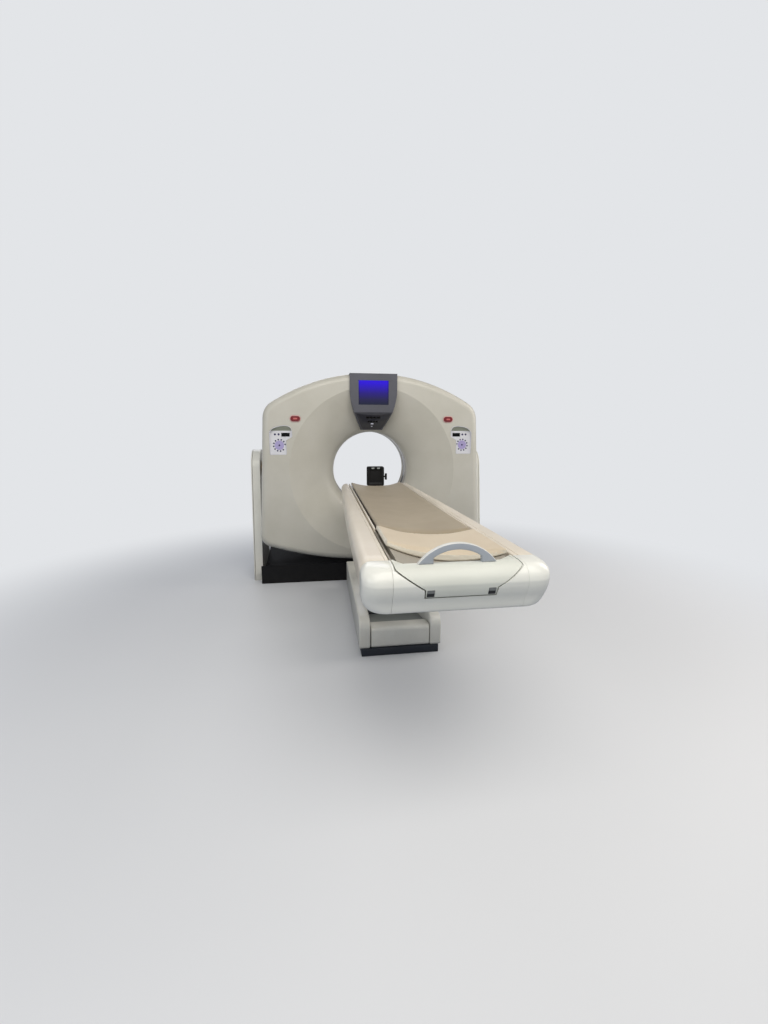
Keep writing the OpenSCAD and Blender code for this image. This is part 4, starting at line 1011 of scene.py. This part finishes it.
def column_outline(inset):
    """Rounded head on straight flanks that run down to a wide foot, as (y, z)."""
    r, half, foot, steps = COLUMN_R - inset, COLUMN_HALF - inset, COLUMN_FOOT, 40
    far = math.hypot(half, ISO_H - foot)
    lift = math.atan2(ISO_H - foot, -half) - math.asin(r / far)
    run = math.sqrt(far * far - r * r)
    touch_y, touch_z = half + run * math.cos(lift), foot + run * math.sin(lift)
    start = math.atan2(touch_z - ISO_H, touch_y)
    head = [(r * math.cos(a), ISO_H + r * math.sin(a))
            for a in (start + (math.pi - 2 * start) * i / steps for i in range(steps + 1))]
    return [(-half, 0), (half, 0), (half, foot)] + head + [(-half, foot)]


for side, flip in SIDES:
    cap = slab(column_outline(0.6), cap_low.x, cap_high.x, "X", rim=11, rim_steps=6)
    clip(cap, Vector((cap_low.x + 4, 0, 0)), Vector((-1, 0, 0)))
    off_floor(cap)
    stands_for(piece(f"column_cover_{side}", sided(cap, flip), table_paint), "stand",
               f"column_cap_{side}", slot="rail_paint")

base_low, base_high = node_box("gantry_base")
# Radius of the saddle in the foot, about the tilt axis, which the tilting covers clear
SWING_R = 960
saddle = [(y, ISO_H - math.sqrt(SWING_R ** 2 - y * y))
          for y in (base_high.y - 2 * base_high.y * i / 40 for i in range(41))]
base = slab([(base_low.y, 0), (base_high.y, 0)] + saddle, base_low.x + 1, base_high.x - 1, "X",
            rim=5, rim_steps=3)
off_floor(base)
stands_for(piece("gantry_foot", base, base_coat), "stand", "gantry_base", slot="base_black")

cheek_low, cheek_high = node_box("cheek_right")


def cheek_outline():
    """Side cheek of the table base as (y, z): big round at the near top, small ones elsewhere."""
    near, far, top, foot = cheek_low.y, cheek_high.y, cheek_high.z, cheek_low.z
    low_r, big_r, tip_r = 24, 70, 10
    return (quarter(near + low_r, foot + low_r, low_r, low_r, 3, 2, 6)
            + quarter(near + big_r, top - big_r, big_r, big_r, 2, 1, 14)
            + quarter(far - tip_r, top - tip_r, tip_r, tip_r, 1, 0, 5) + [(far, foot)])


for side, flip in SIDES:
    cheek = slab(cheek_outline(), cheek_low.x, cheek_high.x, "X", rim=15, rim_steps=6)
    stands_for(piece(f"base_cheek_{side}", sided(cheek, flip), table_paint), "stand", f"cheek_{side}",
               slot="rail_paint")

end_low, end_high = node_box("base_end_cover")
END_GAP = 4
end_cover = box_slab(end_low.x + END_GAP, end_high.x - END_GAP, end_low.y, end_high.y, end_low.z,
                     end_high.z)
long_edges = [e for e in end_cover.edges
              if abs(e.verts[0].co.x - e.verts[1].co.x) > 10 and e.verts[0].co.y < end_low.y + 1]
bmesh.ops.bevel(end_cover, geom=long_edges, offset=26, offset_type="OFFSET", segments=8, profile=0.5,
                affect="EDGES", clamp_overlap=True, material=-1)
round_edges(end_cover, sharp_edges(end_cover, 60), 1.5, 2)
stands_for(piece("base_front_cover", end_cover, table_paint), "stand", "base_end_cover",
           slot="rail_paint")
plinth_low, plinth_high = node_box("table_plinth")
plinth = box_slab(plinth_low.x, plinth_high.x, plinth_low.y, plinth_high.y, 0.3, plinth_high.z, rim=3)
stands_for(piece("table_foot_plinth", plinth, plinth_coat), "stand", "table_plinth",
           slot="plinth_slate")

# ---------------------------------------------------------------- table top
FAR_Y = -640
TABLE_L = 2402
NEAR_Y = FAR_Y - TABLE_L
BEZEL_Y = -2915
RAIL_TOP = 945
RAIL_FOOT = 780
TROUGH = 240
UNDER_H, UNDER_W = 70, 46
SHOULDER_H, SHOULDER_W = 45, 40


# The rails' width over all at their far end, and how much more it is at the near end
FAR_W, WIDENING = 592, 108


def rail_ring(y):
    """Section of a side rail: bowed outer wall, flat top with a fine groove, square inner wall."""
    t = (FAR_Y - y) / TABLE_L
    x = (FAR_W + WIDENING * (1.6 * t - 0.6 * t * t)) / 2
    foot = max(RAIL_FOOT, RAIL_FOOT + 80 - (FAR_Y - y) * 0.5)
    deep = min(UNDER_H, RAIL_TOP - foot - SHOULDER_H - 1)
    section = [(TROUGH, foot)]
    section += quarter(x - UNDER_W, foot + deep, UNDER_W, deep, -1, 0, 12)
    section += quarter(x - SHOULDER_W, RAIL_TOP - SHOULDER_H, SHOULDER_W, SHOULDER_H, 0, 1, 12)
    section += [(TROUGH + 21, RAIL_TOP), (TROUGH + 19.5, RAIL_TOP - 2.5), (TROUGH + 16.5, RAIL_TOP - 2.5),
                (TROUGH + 15, RAIL_TOP)]
    section += quarter(TROUGH + 8, RAIL_TOP - 8, 8, 8, 1, 2, 4)
    return [(px, y, pz) for px, pz in section]


for side, flip in SIDES:
    spots = [FAR_Y - 1 + (BEZEL_Y + 1.3 - FAR_Y) * (i / 40) ** 1.5 for i in range(41)]
    rail = loft([rail_ring(y) for y in spots])
    ends = [e for e in sharp_edges(rail, 60) if abs(e.verts[0].co.y - e.verts[1].co.y) < 0.01]
    round_edges(rail, ends, 1.2, 2)
    made = piece(f"rail_moulding_{side}", sided(rail, flip), rail_paint, smooth=32)
    stands_for(made, "table_top", f"side_rail_{side}", slot="rail_paint")

BEZEL_HALF = 350
BEZEL_CORNER = 65
BEZEL_FOOT = 766
SEAM_X = 245
# Front of the bezel, from its foot up: height above the foot, and how far it is set back
BOW = [(0, 72), (3, 52), (9, 41), (20, 36), (38, 31), (56, 24), (76, 13), (95, 5), (112, 1), (122, 0),
       (136, 3), (148, 9), (158, 17), (166, 26), (172, 36), (176, 47), (179, 75)]
FINE_BOW = smooth_run(BOW, 3)
# Front view of the cap, as (x, z), and the wall behind its bow
CAP_TOP = 944
CAP = [(-128, 838), (128, 838), (130, 870), (232, 938), (232, CAP_TOP), (-232, CAP_TOP), (-232, 938),
       (-130, 870)]
CAP_WALL_Y = NEAR_Y + 84


def side_in(z):
    """How far the bezel's sides round in at a height."""
    def oval_in(deep, wide, h):
        """Inset of an oval corner, a height above or below its tip."""
        return 0 if h >= deep else wide * (1 - math.sqrt(1 - (1 - h / deep) ** 2))
    return oval_in(UNDER_H, UNDER_W, z - BEZEL_FOOT) + oval_in(SHOULDER_H, SHOULDER_W, RAIL_TOP - z)


def bezel_ring(rise_z, back):
    """Plan of the end bezel at a height: straight back, rounded near corners."""
    z, y = BEZEL_FOOT + rise_z, NEAR_Y + back
    x = BEZEL_HALF - side_in(z)
    deep = min(BEZEL_CORNER, BEZEL_Y - y - 6)
    ring = [(x, BEZEL_Y, z), (-x, BEZEL_Y, z)]
    for side, start in ((-1, 2), (1, 3)):
        ring += [(px, py, z) for px, py in quarter(side * (x - BEZEL_CORNER), y + deep, BEZEL_CORNER, deep,
                                                    start, start + 1, 14)]
    return ring


def bezel_body():
    """The whole end bezel as one solid, before its corners are cut off it."""
    return loft([bezel_ring(*p) for p in FINE_BOW])


def bow_slab(half, back):
    """The bezel's profile drawn out along the middle."""
    return slab([(NEAR_Y + s, BEZEL_FOOT + h) for h, s in FINE_BOW] + [(back, RAIL_TOP), (back, BEZEL_FOOT)],
                -half, half, "X")


def notch(grow):
    """What the cap slides out of, open at the top."""
    outline = [(x, z if z < 940 else z + 60) for x, z in shrink(CAP, -grow)]
    return slab(outline, NEAR_Y - 40, BEZEL_Y + 40, "Y")


centre = piece("end_bezel_centre", bow_slab(SEAM_X, BEZEL_Y), bezel_paint, smooth=32)
cut(centre, notch(5), box_slab(-200, 200, CAP_WALL_Y, BEZEL_Y + 1, 700, 826))
stands_for(soften(centre, 1.0, 2), "table_top", "bezel_centre", slot="rail_paint")
for side, flip in SIDES:
    corner_mesh = clip(bezel_body(), Vector((SEAM_X + 0.8, 0, 0)), Vector((-1, 0, 0)))
    round_edges(corner_mesh, sharp_edges(corner_mesh, 60), 1.0, 2)
    made = piece(f"end_bezel_{side}", sided(corner_mesh, flip), bezel_paint, smooth=32)
    stands_for(made, "table_top", f"bezel_{side}", slot="rail_paint")

# ---------------------------------------------------------------- cradle
CRADLE_FAR = FAR_Y - 5
CRADLE_NEAR = CRADLE_FAR - 2260
CRADLE_R = 570
CRADLE_Z = 869
# Height of the middle of the cradle's curve
BED_Z = CRADLE_Z + CRADLE_R
# The cap takes the bezel's paint, darkened as painted shade
cap = piece("cradle_cap", bow_slab(233, CRADLE_NEAR), cap_paint_painted_shade, smooth=32)
cut(cap, slab(CAP, NEAR_Y - 10, CRADLE_NEAR + 5, "Y"), how="INTERSECT")
# Left edges of the two latch pockets, and how wide they are
POCKETS, POCKET_W = (-126, 98), 28
pockets = [box_slab(x, x + POCKET_W, NEAR_Y - 10, NEAR_Y + 16, 840, 868) for x in POCKETS]
# Shallow bowl behind the cap's wall
BOWL_R, BOWL_HALF = 545, 224
bowl = [(x, BED_Z - math.sqrt(BOWL_R ** 2 - x * x)) for x in range(-BOWL_HALF, BOWL_HALF + 1, 8)]
bowl += [(BOWL_HALF, 1020), (-BOWL_HALF, 1020)]
cut(cap, slab(bowl, CAP_WALL_Y, CRADLE_NEAR + 40, "Y", rim=8, rim_steps=4), *pockets)
stands_for(soften(cap, 2.2, 3), "cradle", "cradle_end_cap", slot="rail_paint")

HANDLE_R = 183.5
HANDLE_Z = CAP_TOP + 75 - HANDLE_R
# Half the opening under the handle
HAND_HALF = 90


def arch_outline():
    """Outline of the pull handle: two arcs that stand on the cap."""
    outer_r, inner_r, foot = HANDLE_R, HANDLE_R - 25, CAP_TOP
    outer_end = math.asin((foot - HANDLE_Z) / outer_r)
    inner_end = math.acos(HAND_HALF / inner_r)
    outer = [(outer_r * math.cos(a), HANDLE_Z + outer_r * math.sin(a))
             for a in (outer_end + (math.pi - 2 * outer_end) * i / 40 for i in range(41))]
    inner = [(inner_r * math.cos(a), HANDLE_Z + inner_r * math.sin(a))
             for a in (math.pi - inner_end - (math.pi - 2 * inner_end) * i / 30 for i in range(31))]
    return outer + [(-HAND_HALF, foot)] + inner + [(HAND_HALF, foot)]


handle = piece("pull_arch", slab(arch_outline(), CAP_WALL_Y - 22, CAP_WALL_Y, "Y", rim=6, rim_steps=6),
               handle_nylon, smooth=40)
two_tone(handle, handle_rim,
         lambda n, c: n.dot(Vector((c.x, 0, c.z - HANDLE_Z)).normalized()) > 0.55)
stands_for(handle, "cradle", "pull_handle", slot="handle_grey")


def latch(pocket):
    """A sprung tongue over a deeper step, set back in its pocket, 1 mm clear at either side."""
    left, right, back = pocket + 1, pocket + POCKET_W - 1, NEAR_Y + 16.5
    return gather([box_slab(left, right, NEAR_Y + 4, back, 855, 867, rim=1.5),
                   box_slab(left, right, NEAR_Y + 11, back, 841, 857, rim=1)])


latches = two_tone(piece("cap_latches", gather([latch(x) for x in POCKETS]), latch_rubber), latch_grey,
                   lambda n, c: c.z > 856 and c.y < NEAR_Y + 10)
stands_for(latches, "cradle", slot="clamp_black")

CRADLE_T = 28
CRADLE_HALF = 212
# Radius of the pads' underside, and the thickness of the mattress and of the foot pad
PAD_OUT_R = CRADLE_R - CRADLE_T - 0.3
MATTRESS_T, FOOT_PAD_T = 25, 29
PAD_SEAM_Y = CRADLE_NEAR + 445
PAD_SKEW = 120


def pad_outline(low_r, high_r, half):
    """Section of a strip that lies in the curved cradle, as (x, z)."""
    steps = 36

    def arc(r, reach, forward):
        """An arc of the bed, from left to right or back."""
        a = math.asin(reach / r)
        turns = [-a + 2 * a * i / steps for i in range(steps + 1)]
        return [(r * math.sin(t), BED_Z - r * math.cos(t)) for t in (turns if forward else turns[::-1])]
    return arc(low_r, half, True) + arc(high_r, half, False)


# The cradle's near end, under the foot pad, is a tray in warm grey, a colour set as painted shade under and
# beside the pad; the rest is bare
TRAY_END = PAD_SEAM_Y + PAD_SKEW / 2 + 7
plate_section = pad_outline(CRADLE_R, CRADLE_R - CRADLE_T, CRADLE_HALF)
plate = slab(plate_section, TRAY_END, CRADLE_FAR, "Y", rim=3)
stands_for(piece("cradle_plate", plate, carbon, smooth=30), "cradle", "cradle_shell", slot="cradle_carbon")
LIP_Z = BED_Z - math.sqrt(CRADLE_R ** 2 - CRADLE_HALF ** 2) - 8


def edge_strip(inner, top, near, far):
    """Angle along the cradle's edge: a foot under the plate's edge and a wall up to a height."""
    outline = [(202, LIP_Z), (232, LIP_Z), (232, top), (inner, top), (inner, LIP_Z + 8), (202, LIP_Z + 8)]
    return slab(outline, near, far, "Y", rim=1.5)


def lip():
    """Lip beside the mattress, with a rounded top."""
    strip = edge_strip(224, 946, TRAY_END + 1, CRADLE_FAR)
    round_edges(strip, [e for e in sharp_edges(strip, 60) if min(v.co.z for v in e.verts) > 945], 2.5, 3)
    return strip


def tray_side():
    """Low side wall of the tray, which runs on from the lip beside the foot pad."""
    return edge_strip(226, 932, CRADLE_NEAR + 2, TRAY_END)


lips = piece("cradle_lips", gather(both_sides(lip)), rail_paint, smooth=35)
stands_for(lips, "cradle", slot="rail_paint")
# The tray's warm grey is painted shade
tray = gather([slab(plate_section, CRADLE_NEAR, TRAY_END - 0.5, "Y", rim=1.5)] + both_sides(tray_side))
stands_for(piece("cradle_foot_tray", tray, liner_grp, smooth=30), "cradle", slot="rail_paint")


# A pad's top against its curved bed, in millimetres: how much thicker it is in the middle and
# thinner at the sides; under the head clamp, over this length, the extra fades out
PAD_CROWN, PAD_THIN = 13, 9
CROWN_FADE = 100
# How long a pad's cover is blown up
CLOTH_FRAMES = 20


def stuffed(name, y0, y1, half, skews, thick, material, voxel, swell, belly):
    """A pad: a slightly thin closed form, blown up a little in its cover, flat where it lies.

    Its near and far ends run askew over its width by the two skews."""
    low_r = PAD_OUT_R - 1
    bm = slab(pad_outline(low_r, PAD_OUT_R - thick + swell, half - 2), y0 + 3, y1 - 3, "Y",
              rim=min(7, thick * 0.28), rim_steps=4)
    for vert in bm.verts:
        along = (vert.co.y - y0) / (y1 - y0)
        vert.co.y -= vert.co.x / 432 * (skews[0] + (skews[1] - skews[0]) * along)
    pad = piece(name, bm, material, smooth=60)
    mesher = pad.modifiers.new("voxels", "REMESH")
    mesher.mode = "VOXEL"
    mesher.voxel_size = voxel * MM
    mesher.use_smooth_shade = True
    freeze(pad)
    before = [v.co.copy() for v in pad.data.vertices]
    held = pad.vertex_groups.new(name="lies_on_cradle")
    for v in pad.data.vertices:
        away = math.hypot(v.co.x, v.co.z - BED_Z * MM)
        if away > (low_r - 4) * MM:
            held.add([v.index], 1.0, "REPLACE")
    cloth = pad.modifiers.new("cover", "CLOTH")
    cloth.settings.quality = 5
    cloth.settings.mass = 0.3
    cloth.settings.tension_stiffness = 15
    cloth.settings.compression_stiffness = 15
    cloth.settings.use_pressure = True
    cloth.settings.uniform_pressure_force = belly
    cloth.settings.effector_weights.gravity = 0
    cloth.settings.vertex_group_mass = "lies_on_cradle"
    cloth.point_cache.frame_start = 1
    cloth.point_cache.frame_end = CLOTH_FRAMES
    for number in range(1, CLOTH_FRAMES + 1):
        bpy.context.scene.frame_set(number)
    freeze(pad)
    bpy.context.scene.frame_set(1)
    limit = swell * MM * 1.1
    for v, was in zip(pad.data.vertices, before):
        step = v.co - was
        if step.length > limit:
            v.co = was + step.normalized() * limit
    pad.vertex_groups.clear()
    for v in pad.data.vertices:
        up = (PAD_OUT_R - math.hypot(v.co.x, v.co.z - BED_Z * MM) / MM) / thick
        side = (v.co.x / MM / half) ** 2
        fade = min(1, (CRADLE_FAR * MM - v.co.y) / (CROWN_FADE * MM))
        v.co.z += max(up, 0) * (PAD_CROWN * fade * (1 - side) - PAD_THIN * side) * MM
    finer = pad.modifiers.new("finer", "SUBSURF")
    finer.levels = finer.render_levels = 1
    freeze(pad)
    for face in pad.data.polygons:
        face.use_smooth = True
    return pad


mattress = stuffed("cradle_mattress", PAD_SEAM_Y + 1, CRADLE_FAR - 0.3, 220, (PAD_SKEW, 0), MATTRESS_T,
                   mattress_cloth, 10, 4, 3)
stands_for(mattress, "cradle", "mattress", slot="pad_beige")
foot_pad = stuffed("cradle_foot_pad", PAD_SEAM_Y - 355, PAD_SEAM_Y - 1, 226, (1.4 * PAD_SKEW, PAD_SKEW),
                   FOOT_PAD_T, foot_pad_cloth, 6, 5, 4)
two_tone(foot_pad, foot_pad_edge,
         lambda n, c: abs(n.dot(Vector((c.x, 0, c.z - BED_Z)).normalized())) < 0.6)
stands_for(foot_pad, "cradle", "foot_pad", slot="pad_cream")

# ---------------------------------------------------------------- head clamp
clamp_low, clamp_high = node_box("head_clamp")
block_far = CRADLE_FAR - 20
block_near = block_far - 46
clamp_foot = CRADLE_Z + CRADLE_T + MATTRESS_T + 8
CLAMP_LEFT, CLAMP_RIGHT, CLAMP_H = -81, 65, 165
front_plate = [(CLAMP_LEFT, clamp_foot), (CLAMP_RIGHT, clamp_foot), (CLAMP_RIGHT, clamp_foot + CLAMP_H),
               (CLAMP_LEFT, clamp_foot + CLAMP_H)]
clamp_body = slab(front_plate, block_near, block_far, "Y", corner=14, corner_steps=5, rim=4)
hook = box_slab(-50, 34, block_far - 10, clamp_high.y, clamp_foot + 20, clamp_foot + 60, rim=2)
tongue = box_slab(-50, 34, CRADLE_FAR + 0.6, clamp_high.y, clamp_low.z, clamp_foot + 58, rim=1)
clamp = piece("head_clamp_body", gather([clamp_body, hook, tongue]), clamp_abs)
# A shallow window in its near face, inside a rim of 25 mm at the sides
left, right, low, high = CLAMP_LEFT + 25, CLAMP_RIGHT - 25, clamp_foot + 34, clamp_foot + 138
window = slab([(left, low), (right, low), (right, high), (left, high)], block_near - 10, block_near + 8,
              "Y", corner=10)
stands_for(cut(clamp, window), "cradle", "head_clamp", slot="clamp_black")
# Two pale grey blocks at the top of the clamp's near face
pads = [box_slab(x, x + 26, block_near - 0.5, block_near + 16, clamp_foot + 144, clamp_foot + 158, rim=2)
        for x in (-44, 4)]
stands_for(piece("head_clamp_pale_blocks", gather(pads), hood_abs), "cradle", slot="clamp_black")

knob_y, knob_z = block_far - 23, clamp_foot + 78
bow = [(-27, -6), (-22, -10), (-9, -5), (9, -5), (22, -10), (27, -6), (27, 6), (22, 10), (9, 5),
       (-9, 5), (-22, 10), (-27, 6)]
wings = slab([(knob_y + w, knob_z + v) for v, w in bow], 74, 92, "X", corner=2, corner_steps=3, rim=2)
shaft = turned([(0, 31), (6, 31), (6, 72), (9, 72), (9, 76), (0, 76)], (0, knob_y, knob_z), "X", 32)
knob = piece("clamp_wing_knob", gather([wings, shaft]), clamp_abs)
stands_for(knob, "knob", "clamp_knob", slot="clamp_black")

# ---------------------------------------------------------------- floor and light
# Colour the camera sees behind the object, which the floor runs out into
BACKDROP = "#e3e5e8"


def studio():
    """A pale backdrop that lights the object only dimly."""
    world = bpy.data.worlds.new("studio")
    bpy.context.scene.world = world
    world.use_nodes = True
    tree = world.node_tree
    tree.nodes.clear()
    rays = add(tree, "ShaderNodeLightPath")
    dim = add(tree, "ShaderNodeBackground", {"Color": hex_rgb("#dfe3ea"), "Strength": 0.36})
    pale = add(tree, "ShaderNodeBackground", {"Color": hex_rgb(BACKDROP), "Strength": 1.0})
    both = add(tree, "ShaderNodeMixShader", links={0: rays.outputs["Is Camera Ray"],
               1: dim.outputs["Background"], 2: pale.outputs["Background"]})
    add(tree, "ShaderNodeOutputWorld", links={"Surface": both.outputs["Shader"]})


def lamp(name, place, aim, size, power, colour):
    """A soft lamp at a place, aimed at a point; sizes in metres, power in watts."""
    light = bpy.data.lights.new(name, "AREA")
    light.shape = "RECTANGLE"
    light.size, light.size_y = size
    light.energy = power
    light.color = hex_rgb(colour)[:3]
    made = bpy.data.objects.new(name, light)
    made.location = place
    made.rotation_euler = (Vector(aim) - Vector(place)).to_track_quat("-Z", "Y").to_euler()
    bpy.context.scene.collection.objects.link(made)


def floor_material():
    """Pale studio floor that runs out into the backdrop."""
    material, tree, where = begin("studio_floor_pale")
    middle = add(tree, "ShaderNodeVectorMath", {1: (0, -1.4, 0)}, {0: where}, operation="SUBTRACT")
    far = add(tree, "ShaderNodeVectorMath", links={0: middle.outputs["Vector"]}, operation="LENGTH")
    fade = add(tree, "ShaderNodeMapRange", {"From Min": 1.9, "From Max": 4.2},
               {"Value": far.outputs["Value"]}, interpolation_type="SMOOTHSTEP")
    # The camera sees it pale, and it throws back as little light as a grey vinyl floor
    rays = add(tree, "ShaderNodeLightPath")
    tone = add(tree, "ShaderNodeMix", {6: hex_rgb("#8b919c"), 7: hex_rgb("#dcdee1")},
               {0: rays.outputs["Is Camera Ray"]}, data_type="RGBA")
    near = add(tree, "ShaderNodeBsdfPrincipled", {"Roughness": 0.5}, {"Base Color": tone.outputs[2]})
    glow = add(tree, "ShaderNodeEmission", {"Color": hex_rgb(BACKDROP), "Strength": 1.0})
    both = add(tree, "ShaderNodeMixShader", links={0: fade.outputs["Result"], 1: near.outputs["BSDF"],
               2: glow.outputs["Emission"]})
    add(tree, "ShaderNodeOutputMaterial", links={"Surface": both.outputs["Shader"]})
    return material


ground = bmesh.new()
bmesh.ops.create_circle(ground, cap_ends=True, segments=96, radius=60000)
floor = piece("studio_floor", ground, floor_material())
studio()
lamp("ceiling_soft", (0.2, -4.1, 4.0), (0, -1.9, 0.7), (4.5, 3.2), 135, "#fffaf2")
lamp("left_fill", (-4.5, -4.5, 2.8), (0, -0.8, 0.9), (3.0, 2.5), 50, "#f4f6fa")
lamp("right_rim", (4.2, -1.0, 3.0), (0.4, -0.6, 1.2), (2.0, 3.0), 70, "#fff8f0")
lamp("rear_soft", (-0.5, 4.0, 3.8), (0, 0, 1.0), (4.0, 2.5), 60, "#f4f6ff")

bpy.context.scene.view_settings.view_transform = "Standard"
